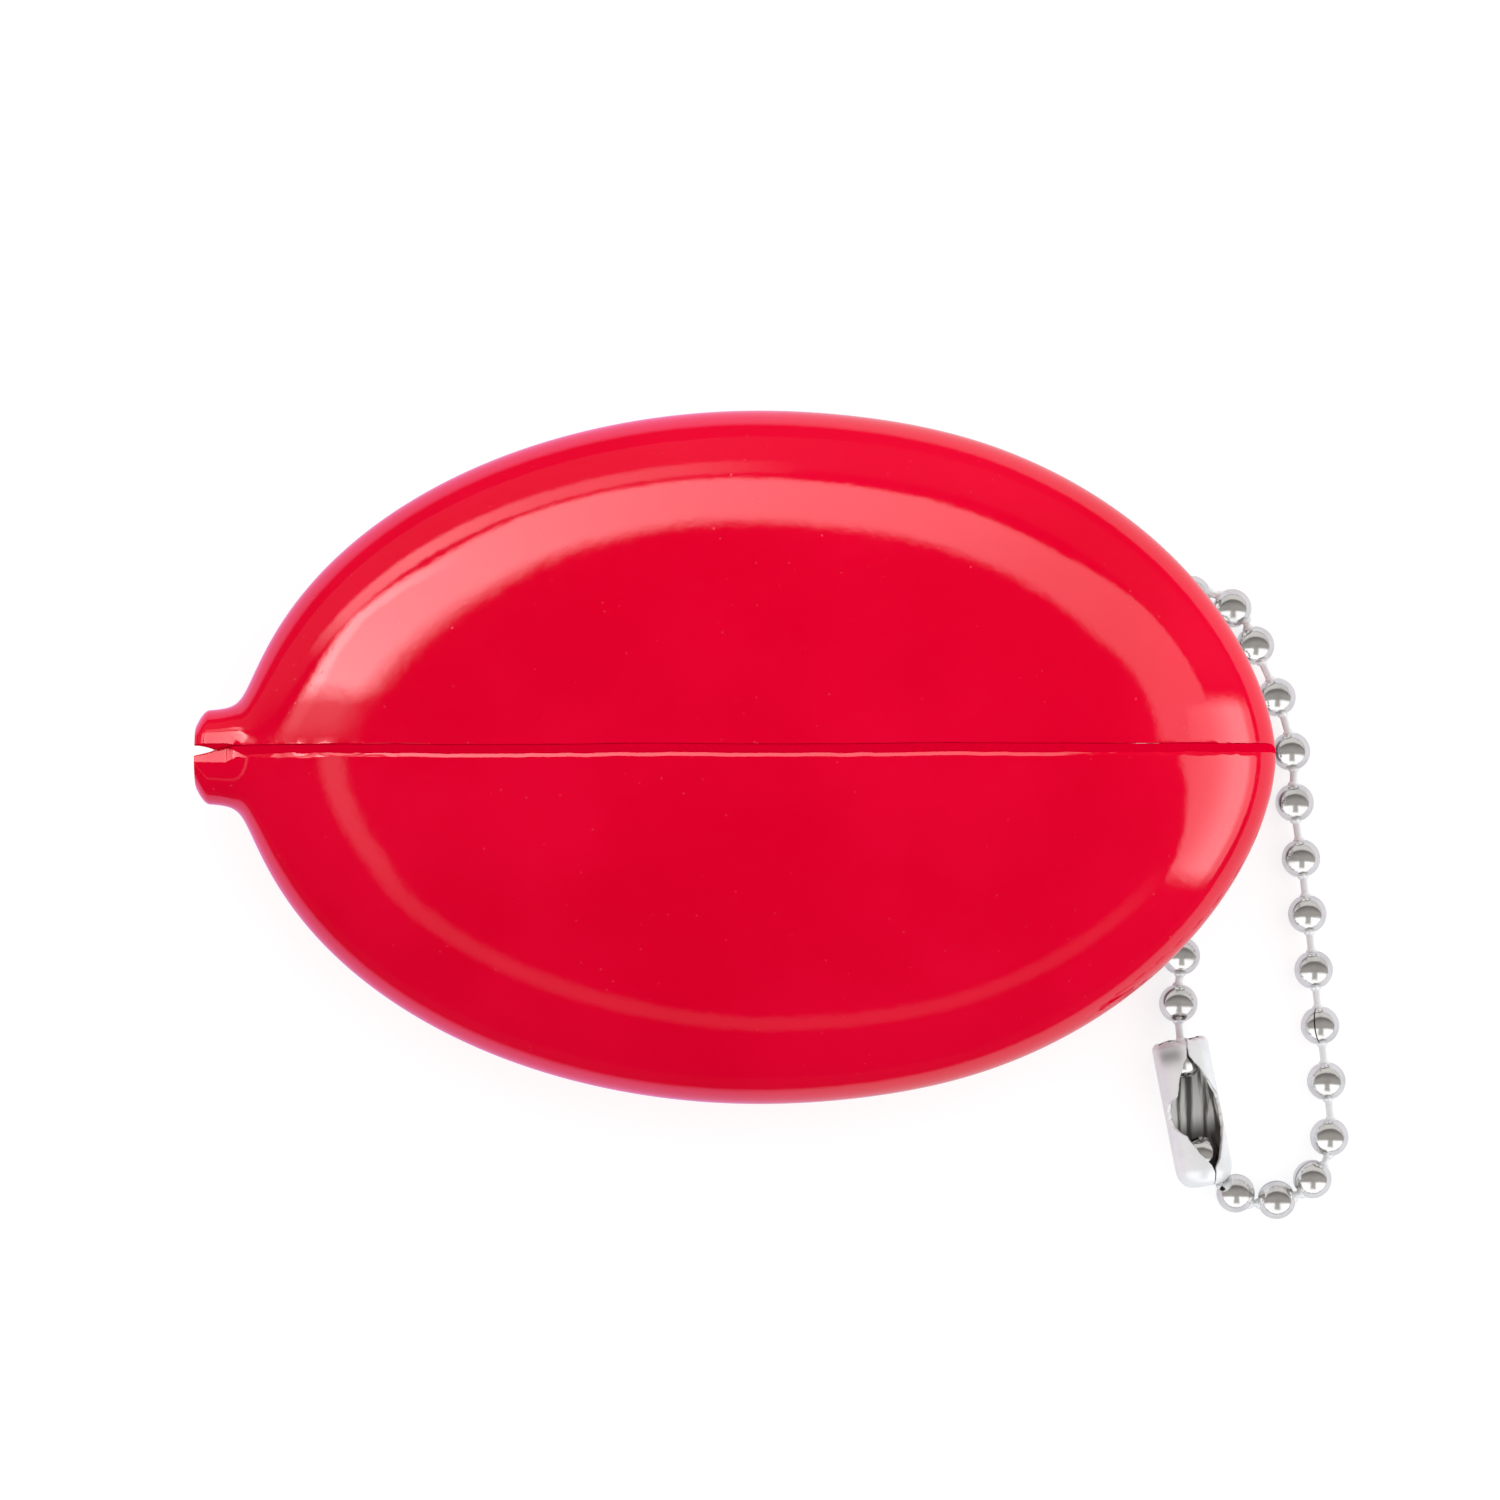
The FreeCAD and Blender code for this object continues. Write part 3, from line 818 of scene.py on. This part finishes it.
    def half(self, side: Side, finish: Finish) -> Piece:
        """One half of the shell, as a closed ring of outside, underside seam, inside and lip.

        The ring at each station is an elliptic arc, y = W cos a, z = equator + H sin a, from the
        slit round to the underside, the same arc on the inner wall back again, and the lip.

        Args:
            side: which half.
            finish: the vinyl.

        Returns:
            The piece.
        """
        way = side.value
        x = self.stations()
        wide = self.section(x, self.half_width, self.wide_trim)
        deep = self.section(x, self.half_depth, self.deep_trim)
        across, down = self.lip(side, x, wide)
        under = self.notch_middle * (1.0 - smooth(x, *self.under_span)) + way * self.notch(x)
        outer = self.arc(way, wide, deep, across[:, 0], under, self.outer_points)
        inner = self.arc(
            way, self.inset(wide), self.inset(deep), across[:, -1], under, self.inner_points
        )
        edge = np.stack([across[:, 1:-1], blend(outer[:, :1, 1], inner[:, :1, 1], down[:, 1:-1])], -1)
        ring = np.concatenate([outer, inner[:, ::-1], edge[:, ::-1]], axis=1)
        ring[..., 1] = positive(ring[..., 1], self.foot_soft)
        grid = np.concatenate([np.broadcast_to(x[:, None, None], ring[..., :1].shape), ring], -1)
        matte = np.zeros(grid.shape[:2])
        matte[:, self.outer_points : -2] = 1.0
        name = f"shell_{side.name.lower()}"
        return self.pierce(surface(name, grid, finish, {"matte": matte}, crease=self.crease), side)

    def pierce(self, piece: Piece, side: Side) -> Piece:
        """Cut the chain's hole through the underside, square to the wall.

        Args:
            piece: the half shell.
            side: which half.

        Returns:
            The same piece with its hole.
        """
        x, y = self.holes[side]
        near = np.array([[x, y], [x + self.probe, y], [x, y + self.probe]])
        wide = self.section(near[:, 0], self.half_width)
        deep = self.section(near[:, 0], self.half_depth)
        high = self.equator - deep * np.sqrt(1.0 - (near[:, 1] / wide) ** 2)
        slope = (high[1:] - high[0]) / self.probe
        axis = unit(np.array([-slope[0], -slope[1], 1.0]))
        profile = np.array([[self.hole_radius, end] for end in self.drill_ends])
        angles = np.linspace(0.0, TURN, self.hole_points, endpoint=False)
        grid = turned(profile, angles, np.array([x, y, high[0]]), axis)
        drill = surface("drill", grid, piece.active_material)
        cutter = piece.modifiers.new("hole", "BOOLEAN")
        cutter.object = drill
        cutter.solver = "MANIFOLD"
        bpy.context.view_layer.update()
        evaluated = piece.evaluated_get(bpy.context.evaluated_depsgraph_get())
        pierced = bpy.data.meshes.new_from_object(evaluated)
        piece.modifiers.clear()
        piece.data = pierced
        piece.data.set_sharp_from_angle(angle=math.radians(self.crease))
        bpy.data.objects.remove(drill)
        return piece

    def build(self, finish: Finish) -> list[Piece]:
        """Make both halves, in place of the moulded nodes.

        Args:
            finish: the vinyl.

        Returns:
            The two halves.
        """
        halves = []
        for side, lip in ((Side.UPPER, "upper_lip"), (Side.LOWER, "lower_lip")):
            piece = self.half(side, finish)
            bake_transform(piece)
            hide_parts(lip, "front_shell")
            piece.visible_glossy = False
            halves.append(piece)
        return halves


def stand_in(frame: dict[str, Any], piece: Piece, node: str) -> None:
    """Let a piece stand for a chain node, riding on the body that carries the node.

    Args:
        frame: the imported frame.
        piece: the piece.
        node: the node's name.
    """
    bodies = frame["record"]["behaviour"]["bodies"]
    carrier = next(body for body, nodes in bodies.items() if node in nodes)
    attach(piece, carrier)
    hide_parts(node)


@dataclass
class BeadChain:
    """The bead chain: hollow rolled beads, and the headed links that are caught in them.

    The groove is in multiples of the seam's half width, and the rolls are the degrees from
    straight up at which the seams lie.
    """

    beads: int = 27
    links: int = 26
    held: int = 18
    rounds: int = 60
    radius: float = 1.5
    wall: float = 0.2
    hole: float = 0.46
    rim_turn: float = 0.03
    rim_width: float = 0.12
    wire: float = 0.29
    head: float = 0.48
    head_reach: float = 0.62
    head_start: float = 0.02
    seam_half: float = 0.035
    seam_depth: float = 0.09
    seam_shade: float = 0.35
    groove: Row = (-3.0, -1.4, -0.7, 0.7, 1.4, 3.0)
    groove_end: float = 6.0
    outer_points: int = 40
    inner_points: int = 18
    round_points: int = 58
    head_points: int = 14
    wire_points: int = 20
    rolls: Row = (
        40, 200, 150, 120, 160, 215, 100, 140, 200, 165, 120, 190, 20, 150,
        110, 60, 75, 80, 200, 160, 130, 215, 180, 150, 100, 190, 160,
    )
    middles: Array = field(default_factory=lambda: np.zeros((0, 3)))
    axes: Array = field(default_factory=lambda: np.zeros((0, 3)))

    def settle(self) -> None:
        """Read the beads' middles from the frame, and turn each along its neighbours' holes.

        Each axis is the line from the hole that faces it behind to the one that faces it ahead,
        found in rounds; the two beads in the connector keep the connector's line on its side.
        """
        boxes = [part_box(f"bead_{n:02d}") for n in range(1, self.beads + 1)]
        self.middles = np.array([(np.array(low) + np.array(high)) / 2.0 for low, high in boxes]) / MM
        reach = self.radius - self.wall / 2.0
        ahead = unit(np.roll(self.middles, -1, 0) - self.middles)
        self.axes = unit(ahead + np.roll(ahead, 1, 0))
        sleeve = ahead[self.held]
        for _ in range(self.rounds):
            back = np.roll(self.middles + self.axes * reach, 1, 0)
            front = np.roll(self.middles - self.axes * reach, -1, 0)
            front[self.held] = self.middles[self.held] + sleeve * reach
            back[self.held + 1] = self.middles[self.held + 1] - sleeve * reach
            self.axes = unit(self.axes + unit(front - back))

    def bead(self, number: int, finish: Finish) -> Piece:
        """A bead: a hollow ball of two walls, round a hole at each pole, with a pole-to-pole seam.

        The profile runs over the outside from hole to hole with a slightly turned-in rim, and
        back along the inside. At the seam the outside's columns dip into a groove.

        Args:
            number: the bead's number, from 1.
            finish: the plate.

        Returns:
            The piece.
        """
        inside = self.radius - self.wall
        lip = math.asin(self.hole / self.radius)
        back = math.asin(self.hole / inside)
        over = np.linspace(lip, math.pi - lip, self.outer_points)
        under = np.linspace(math.pi - back, back, self.inner_points)
        rim = 1.0 - smooth(np.sin(over), math.sin(lip), math.sin(lip) + self.rim_width)
        tall = self.radius * (1.0 - self.rim_turn * rim)
        outer = np.stack([self.radius * np.sin(over), tall * np.cos(over)], -1)
        inner = np.stack([inside * np.sin(under), inside * np.cos(under)], -1)
        seam = self.seam_half / self.radius
        clear = self.groove_end * seam
        angles = np.linspace(clear, TURN - clear, self.round_points)
        angles = np.concatenate([np.array(self.groove) * seam, angles])
        middle = self.middles[number - 1]
        roll = math.radians(self.rolls[number - 1])
        profile = np.concatenate([outer, inner])
        grid = turned(profile, angles + roll, middle, self.axes[number - 1])
        dip = np.zeros(grid.shape[:2])
        dip[: self.outer_points, 2:4] = 1.0
        grid = grid - self.seam_depth * dip[..., None] * unit(grid - middle)
        dip[: self.outer_points, [1, 4]] = self.seam_shade
        return surface(f"chain_bead_{number:02d}", grid, finish, {"seam": dip}, caps=False)

    def ends(self, number: int) -> tuple[int, int]:
        """The beads, counted from 0, that a link joins; the connector takes one link's place."""
        first = number - 1 if number <= self.held else number
        return first, (first + 1) % self.beads

    def link(self, number: int, finish: Finish) -> Piece:
        """A link: a straight wire through two facing holes, with a round head inside each bead.

        Args:
            number: the link's number, from 1.
            finish: the plate.

        Returns:
            The piece.
        """
        first, second = self.ends(number)
        reach = self.radius - self.wall / 2.0
        start = self.middles[first] + self.axes[first] * reach
        end = self.middles[second] - self.axes[second] * reach
        half = np.linalg.norm(end - start) / 2.0
        crown = half + self.head_reach - self.head
        arc = np.linspace(self.head_start, math.pi - math.asin(self.wire / self.head), self.head_points)
        knob = np.stack([self.head * np.sin(arc), crown + self.head * np.cos(arc)], -1)
        profile = np.concatenate([knob, (knob * [1.0, -1.0])[::-1]])
        angles = np.linspace(0.0, TURN, self.wire_points, endpoint=False)
        grid = turned(profile, angles, (start + end) / 2.0, unit(end - start))
        return surface(f"chain_link_{number:02d}", grid, finish, {"seam": np.zeros(grid.shape[:2])})

    def build(self, frame: dict[str, Any], bright: Finish, satin: Finish) -> list[Piece]:
        """Make every bead and link, each riding where its node rides and standing for it.

        Args:
            frame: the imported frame.
            bright: the beads' plate.
            satin: the links' plate.

        Returns:
            The pieces.
        """
        self.settle()
        made = {f"bead_{n:02d}": self.bead(n, bright) for n in range(1, self.beads + 1)}
        made |= {f"link_{n:02d}": self.link(n, satin) for n in range(1, self.links + 1)}
        for node, piece in made.items():
            stand_in(frame, piece, node)
        return list(made.values())


@dataclass
class ChainConnector:
    """The connector: a strip rolled round the chain's two end beads, its torn-looking side up.

    The window's two edges are lines along the sleeve, in degrees from straight up.
    """

    length: float = 11.4
    radius: float = 2.2
    overlap: float = 1.5
    wall: float = 0.28
    mouths: Pair = (1.65, 1.05)
    corners: Pair = (0.4, 1.5)
    left: Line = (
        (0.0, 0.45, 1.3, 1.73, 3.49, 4.23, 4.6, 5.2, 5.79, 6.3, 6.54, 7.33, 8.71, 9.91, 10.6),
        (8.0, 9.0, 7.0, -3.5, -24.0, -34.0, -55.0, -64.0, -66.0, -59.0, -54.0, -25.0, -6.0, 16.0, 19.0),
    )
    right: Line = (
        (0.0, 0.45, 1.26, 2.32, 3.88, 4.46, 5.1, 5.51, 6.22, 7.57, 9.47, 10.07, 10.6),
        (15.0, 13.0, 13.0, 31.0, 55.0, 72.0, 84.0, 88.0, 88.0, 63.0, 38.0, 23.0, 22.0),
    )
    right_waver: Waver = Waver(1.2, 0.35, 51)
    left_waver: Waver = Waver(1.2, 0.4, 52)
    end_waver: Waver = Waver(0.13, 0.13, 53)
    end_span: Span = (0.0, 0.6)
    # A darker round patch outside, and painted shade inside towards the lower end.
    dark_patch: float = 0.62
    dark_patch_place: Pair = (0.95, -27.0)
    dark_patch_size: Pair = (0.7, 27.0)
    shade: float = 0.88
    shade_span: Span = (5.8, 7.8)
    window: Pair = (0.9, 9.7)
    place_counts: tuple[int, int, int] = (22, 130, 26)
    round_points: int = 72
    crease: float = 35.0

    def girth(self, along: Array) -> Array:
        """Radius along the sleeve: straight, then a quarter round in to a mouth at each end.

        Args:
            along: places along the sleeve.

        Returns:
            The radii.
        """
        ends = np.stack([along / self.corners[0], (self.length - along) / self.corners[1]])
        drop = 1.0 - np.sqrt(1.0 - (1.0 - np.clip(ends, 0.0, 1.0)) ** 2)
        return self.radius - np.einsum("i,ij->j", self.radius - np.array(self.mouths), drop)

    def patch_and_painted_shade(self, along: Array, angles: Array, inner: Array) -> Array:
        """How dark the sleeve is: a soft round darker patch outside, and painted shade inside towards
        the lower end.

        Args:
            along: places along the sleeve.
            angles: angles from straight up, places by columns.
            inner: 1 on the inside and 0 on the outside, of the same shape.

        Returns:
            The darkness, of the same shape.
        """
        bearing = np.degrees(angles - TURN * np.round(angles / TURN))
        spot = ((along[:, None] - self.dark_patch_place[0]) / self.dark_patch_size[0]) ** 2
        spot = spot + ((bearing - self.dark_patch_place[1]) / self.dark_patch_size[1]) ** 4
        # Painted shade: the inside darkens towards the lower end.
        shade = self.shade * smooth(along, *self.shade_span)[:, None] * inner
        return np.maximum(self.dark_patch * np.exp(-spot) * (1.0 - inner), shade)

    def build(self, frame: dict[str, Any], first: Array, second: Array, finish: Finish) -> Piece:
        """Roll the strip: at each place along it a ring goes round outside and back inside.

        The sheet runs from the right edge's angle, measured from straight up, round underneath
        to the left edge's angle, so that the window has its bites and its closing slit.

        Args:
            frame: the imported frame.
            first: middle of the bead in the upper end.
            second: middle of the bead in the lower end.
            finish: the plate.

        Returns:
            The piece.
        """
        axis = unit(second - first)
        start = first - self.overlap * axis
        across = unit(np.cross(axis, UP))
        knots = (0.0, *self.window, self.length)
        spans = zip(knots, knots[1:], self.place_counts, (False, False, True))
        along = np.concatenate([np.linspace(a, b, n, endpoint=last) for a, b, n, last in spans])
        right = np.radians(np.interp(along, *self.right) + self.right_waver.at(along))
        left = np.radians(np.interp(along, *self.left) + self.left_waver.at(along))
        share = np.linspace(0.0, 1.0, self.round_points)[None, :]
        turn = blend(right[:, None], TURN + left[:, None], share)
        angles = np.concatenate([turn, turn[:, ::-1]], axis=1)
        inner = np.concatenate([0.0 * turn, 1.0 + 0.0 * turn], axis=1)
        radii = self.girth(along)[:, None] - self.wall * inner
        ragged = self.end_waver.at(np.linspace(0.0, TURN, 2 * self.round_points))[None, :]
        shift = along[:, None] + ragged * (1.0 - smooth(along, *self.end_span))[:, None]
        ring = np.sin(angles)[..., None] * -across + np.cos(angles)[..., None] * UP
        grid = start + shift[..., None] * axis + radii[..., None] * ring
        # The seam mark here is the darker patch and the painted shade, drawn in the plate's dark seam
        # colour.
        marks = {"inner": inner, "seam": self.patch_and_painted_shade(along, angles, inner)}
        piece = surface("chain_sleeve", grid, finish, marks, crease=self.crease)
        stand_in(frame, piece, "chain_connector")
        return piece


@dataclass(frozen=True)
class LightArch:
    """The purse's light: a curved band half-way up behind it, brightest at the left.

    A streak lies under the band's left end, a tall panel stands at the right, and the rest is
    faint. Directions are a tilt from straight up and a turn from +X towards +Y, in degrees. The
    band has its limits, level and softness by turn, and a brighter outer lobe at its left.
    """

    reach: float = 1.8
    warmth: float = 1.45
    turns: Row = (0, 22, 37, 52, 67, 82, 97, 112, 127, 142, 157, 163, 172)
    band_low: Row = (44, 44, 42, 42, 42, 42.5, 43.5, 42.5, 40, 39, 39, 40, 40)
    band_high: Row = (62, 62, 62, 57, 57, 58, 60, 60, 58, 61, 57, 57, 57)
    band_level: Row = (1.5, 1.5, 1.7, 2.0, 2.7, 3.1, 3.7, 4.6, 5.8, 6.9, 8.0, 1.6, 1.2)
    band_soft: Line = ((20, 60, 110, 170), (1.2, 1.8, 2.6, 4.5))
    band_start: Span = (1.5, 3.5)
    band_end: Span = (168.0, 180.0)
    lobe_turn: Span = (122.0, 136.0)
    lobe_edge: Pair = (5.6, 4.2)
    lobe_gain: float = 0.38
    lobe_loss: float = 0.07
    streak: Line = ((85, 97, 112, 127, 142, 152), (0, 1.3, 2.0, 3.7, 3.2, 0))
    streak_low: Span = (61.0, 63.0)
    streak_high: Span = (67.5, 71.0)
    panel: Line = (
        (50, 52, 60, 64, 68, 72, 80, 84, 90), (1.7, 1.9, 2.6, 3.3, 4.1, 4.7, 4.7, 2.1, 1.6),
    )
    panel_edge: Line = ((-30, -23, 0, 4, 8), (1.53, 1.445, 1.135, 1.20, 1.28))
    panel_soft: float = 0.03
    panel_start: Span = (-32.0, -27.0)
    panel_end: Span = (12.0, 17.0)
    back: Line = ((15, 22, 82, 97, 157, 166), (0, 0.08, 0.1, 0.22, 0.22, 0))
    back_low: Span = (62.0, 65.0)
    front: Line = (
        (-180, -165, -148, -139, -111, -40, -28, 172, 180), (1.0, 0.9, 0.7, 0.5, 0.4, 0.3, 0, 0, 1.0),
    )
    front_tilt: Line = (
        (-165, -148, -139, -111, -90, -60, -35), (42.5, 44.0, 47.0, 50.5, 54.0, 55.0, 57.0),
    )
    front_rise: Pair = (-4.0, -1.5)
    front_fall: Pair = (1.0, 4.0)

    def glow(self, tilt: Array, turn: Array) -> Array:
        """Brightness by direction: the greatest of the band, streak, panel, back and front.

        Args:
            tilt: degrees from straight up.
            turn: degrees round from +X towards +Y, from -180 to 180.

        Returns:
            The brightness.
        """
        low = np.interp(turn, self.turns, self.band_low)
        high = np.interp(turn, self.turns, self.band_high)
        soft = np.interp(turn, *self.band_soft)
        band = np.interp(turn, self.turns, self.band_level)
        band = band * window(turn, self.band_start, self.band_end)
        fall = (high - 0.5 * soft, high + 0.5 * soft)
        band = band * window(tilt, (low - soft, low + soft), fall)
        left = smooth(turn, *self.lobe_turn)
        lobe = smooth(tilt, high - self.lobe_edge[0], high - self.lobe_edge[1]) * left
        band = band * (1.0 + lobe * self.lobe_gain - left * self.lobe_loss)
        streak = np.interp(turn, *self.streak) * window(tilt, self.streak_low, self.streak_high)
        plane = np.tan(np.radians(np.minimum(tilt, HORIZON))) * np.cos(np.radians(turn))
        edge = np.interp(turn, *self.panel_edge)
        panel = np.interp(tilt, *self.panel)
        panel = panel * smooth(plane, edge - self.panel_soft, edge + self.panel_soft)
        panel = panel * window(turn, self.panel_start, self.panel_end)
        back = np.interp(turn, *self.back) * smooth(tilt, *self.back_low)
        line = np.interp(turn, *self.front_tilt)
        rise, fall = ((line + near, line + far) for near, far in (self.front_rise, self.front_fall))
        front = np.interp(turn, *self.front) * window(tilt, rise, fall)
        return np.maximum.reduce([band, streak, panel, back, front])


@dataclass(frozen=True)
class LightScreen:
    """The chain's light: two white panels in front with a forked gap between, in a grey room."""

    reach: float = 2.2
    warmth: float = 1.0
    white: float = 1.30
    white_span: Span = (0.20, 0.40)
    gap_dark: float = 0.92
    gap_middle: float = 0.05
    gap_side: Span = (0.16, 0.34)
    gap_end: Span = (0.78, 0.95)
    greys: Triple = (0.36, 0.15, 0.68)
    dark_span: Span = (0.1, 1.1)
    rear_span: Span = (1.15, 1.6)

    def glow(self, tilt: Array, turn: Array) -> Array:
        """Brightness by direction: the room goes grey, dark and light again towards the back.

        Args:
            tilt: degrees from straight up.
            turn: degrees round from +X towards +Y, from -180 to 180.

        Returns:
            The brightness.
        """
        level = np.sin(np.radians(tilt))
        side = level * np.cos(np.radians(turn))
        ahead = -level * np.sin(np.radians(turn))
        over = -ahead / np.cos(np.radians(np.minimum(tilt, HORIZON)))
        gap = 1.0 - smooth(np.abs(side - self.gap_middle), *self.gap_side)
        gap = gap * (1.0 - smooth(ahead, *self.gap_end))
        room = blend(self.greys[0], self.greys[1], smooth(over, *self.dark_span))
        room = blend(room, self.greys[2], smooth(over, *self.rear_span))
        return blend(room, self.white, smooth(ahead, *self.white_span) * (1.0 - self.gap_dark * gap))


@dataclass
class Studio:
    """White table and soft light: a lit room, and a glowing dome each for the purse and chain."""

    camera_place: Triple = (-0.764, 0.558, 600.0)
    lens: float = 185.1
    sensor: float = 36.0
    room: float = 0.585
    rear: float = 0.95
    right: float = 1.75
    left: float = 1.05
    table_half: float = 4.0
    dome_tilts: Pair = (0.3, 89.7)
    dome_points: tuple[int, int] = (150, 361)
    dark: float = 0.01
    bright_span: Span = (0.5, 0.9)
    faint_tint: Pair = (0.95, 0.9)

    def camera(self) -> None:
        """Stand the camera straight above the purse."""
        data = bpy.data.cameras.new("camera")
        data.lens = self.lens
        data.sensor_width = self.sensor
        camera = add("camera", data)
        camera.location = [c * MM for c in self.camera_place]
        bpy.context.scene.camera = camera

    def world(self) -> None:
        """A plain white room, brighter behind and at the sides; what shines sees the domes instead."""
        world = bpy.data.worlds.new("room")
        bpy.context.scene.world = world
        world.use_nodes = True
        recipe = Recipe(world.node_tree)
        way = recipe.node("ShaderNodeTexCoord", {}, {}).outputs["Generated"]
        right = recipe.part(way, "X")
        sides = right.over(0.0) * self.right + (0.0 - right).over(0.0) * self.left
        level = self.room + recipe.part(way, "Y").over(0.0) * self.rear + sides
        strength = level.over(recipe.ray("Camera")) * (1.0 - recipe.ray("Glossy"))
        light = recipe.node("ShaderNodeBackground", {}, {"Strength": strength})
        recipe.node("ShaderNodeOutputWorld", {}, {"Surface": light.outputs[0]})

    def table(self) -> None:
        """A wide table top under the purse."""
        corners = np.array([[-1.0, -1.0, 0.0], [1.0, -1.0, 0.0], [1.0, 1.0, 0.0], [-1.0, 1.0, 0.0]])
        mesh = bpy.data.meshes.new("table")
        mesh.from_pydata((corners * self.table_half).tolist(), [], [[0, 1, 2, 3]])
        mesh.materials.append(TableTop().make())
        table = add("table", mesh)

    def lamp(self, name: str, light: LightArch | LightScreen, lit: list[Piece]) -> None:
        """A part of a dome that glows, unseen by the camera, and lights only some pieces.

        The dome is a grid of tilt from straight up and turn round; faces that don't glow are
        left out, and each point carries its brightness.

        Args:
            name: the lamp's name.
            light: its reach in metres, its share of red, and its brightness by direction.
            lit: the pieces that it lights.
        """
        tilts = np.linspace(*self.dome_tilts, self.dome_points[0])
        turns = np.linspace(-180.0, 180.0, self.dome_points[1])
        tilt, turn = np.meshgrid(tilts, turns, indexing="ij")
        glow = light.glow(tilt, turn)
        across = np.sin(np.radians(tilt))
        ray = [across * np.cos(np.radians(turn)), across * np.sin(np.radians(turn))]
        ray = np.stack([*ray, np.cos(np.radians(tilt))], -1)
        index = np.arange(tilt.size).reshape(tilt.shape)
        quads = np.stack([index[:-1, :-1], index[1:, :-1], index[1:, 1:], index[:-1, 1:]], -1)
        quads = quads.reshape(-1, 4)
        quads = quads[glow.ravel()[quads].max(1) > self.dark]
        mesh = bpy.data.meshes.new(name)
        mesh.from_pydata((ray * light.reach).reshape(-1, 3).tolist(), [], quads.tolist())
        mark(mesh, "glow", glow)
        material, recipe = fresh(name)
        bright = recipe.attribute("glow")
        faint = (light.warmth, *self.faint_tint)
        tint = recipe.mix(bright.step(*self.bright_span), faint, (light.warmth, 1.0, 1.0))
        shine = recipe.node("ShaderNodeEmission", {}, {"Color": tint, "Strength": bright})
        clear = recipe.node("ShaderNodeBsdfTransparent", {}, {})
        sockets = {0: shine.outputs[0], 1: clear.outputs[0]}
        recipe.output(recipe.node("ShaderNodeAddShader", {}, sockets).outputs[0])
        mesh.materials.append(material)
        lamp = add(name, mesh)
        lamp.visible_camera = False
        lamp.visible_diffuse = False
        lamp.visible_shadow = False
        group = bpy.data.collections.new(f"{name}_lights")
        for piece in lit:
            group.objects.link(piece)
        lamp.light_linking.receiver_collection = group

    def build(self, shell: list[Piece], chain: list[Piece]) -> None:
        """Set up the camera, the table and the light.

        Args:
            shell: the purse's pieces.
            chain: the chain's pieces.
        """
        self.camera()
        self.world()
        self.table()
        self.lamp("arch", LightArch(), shell)
        self.lamp("screen", LightScreen(), chain)


def main() -> None:
    """Build the purse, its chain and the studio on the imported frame."""
    logging.basicConfig(level=logging.INFO, format="%(message)s")
    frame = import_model()
    bpy.context.scene.view_settings.view_transform = "Standard"
    shell = PurseShell().build(Vinyl().make())
    bright = Nickel().make()
    satin = Nickel(
        name="satin_plate", bright=(0.91, 0.935, 0.95), worn=(0.84, 0.865, 0.88), gloss=0.34, metal=0.42
    ).make()
    chain = BeadChain()
    pieces = chain.build(frame, bright, satin)
    upper, lower = chain.middles[chain.held + 1], chain.middles[chain.held]
    pieces.append(ChainConnector().build(frame, upper, lower, satin))
    Studio().build(shell, pieces)
    for piece in shell + pieces:
        LOG.info("%s: %d faces", piece.name, len(piece.data.polygons))


if __name__ == "__main__":
    main()
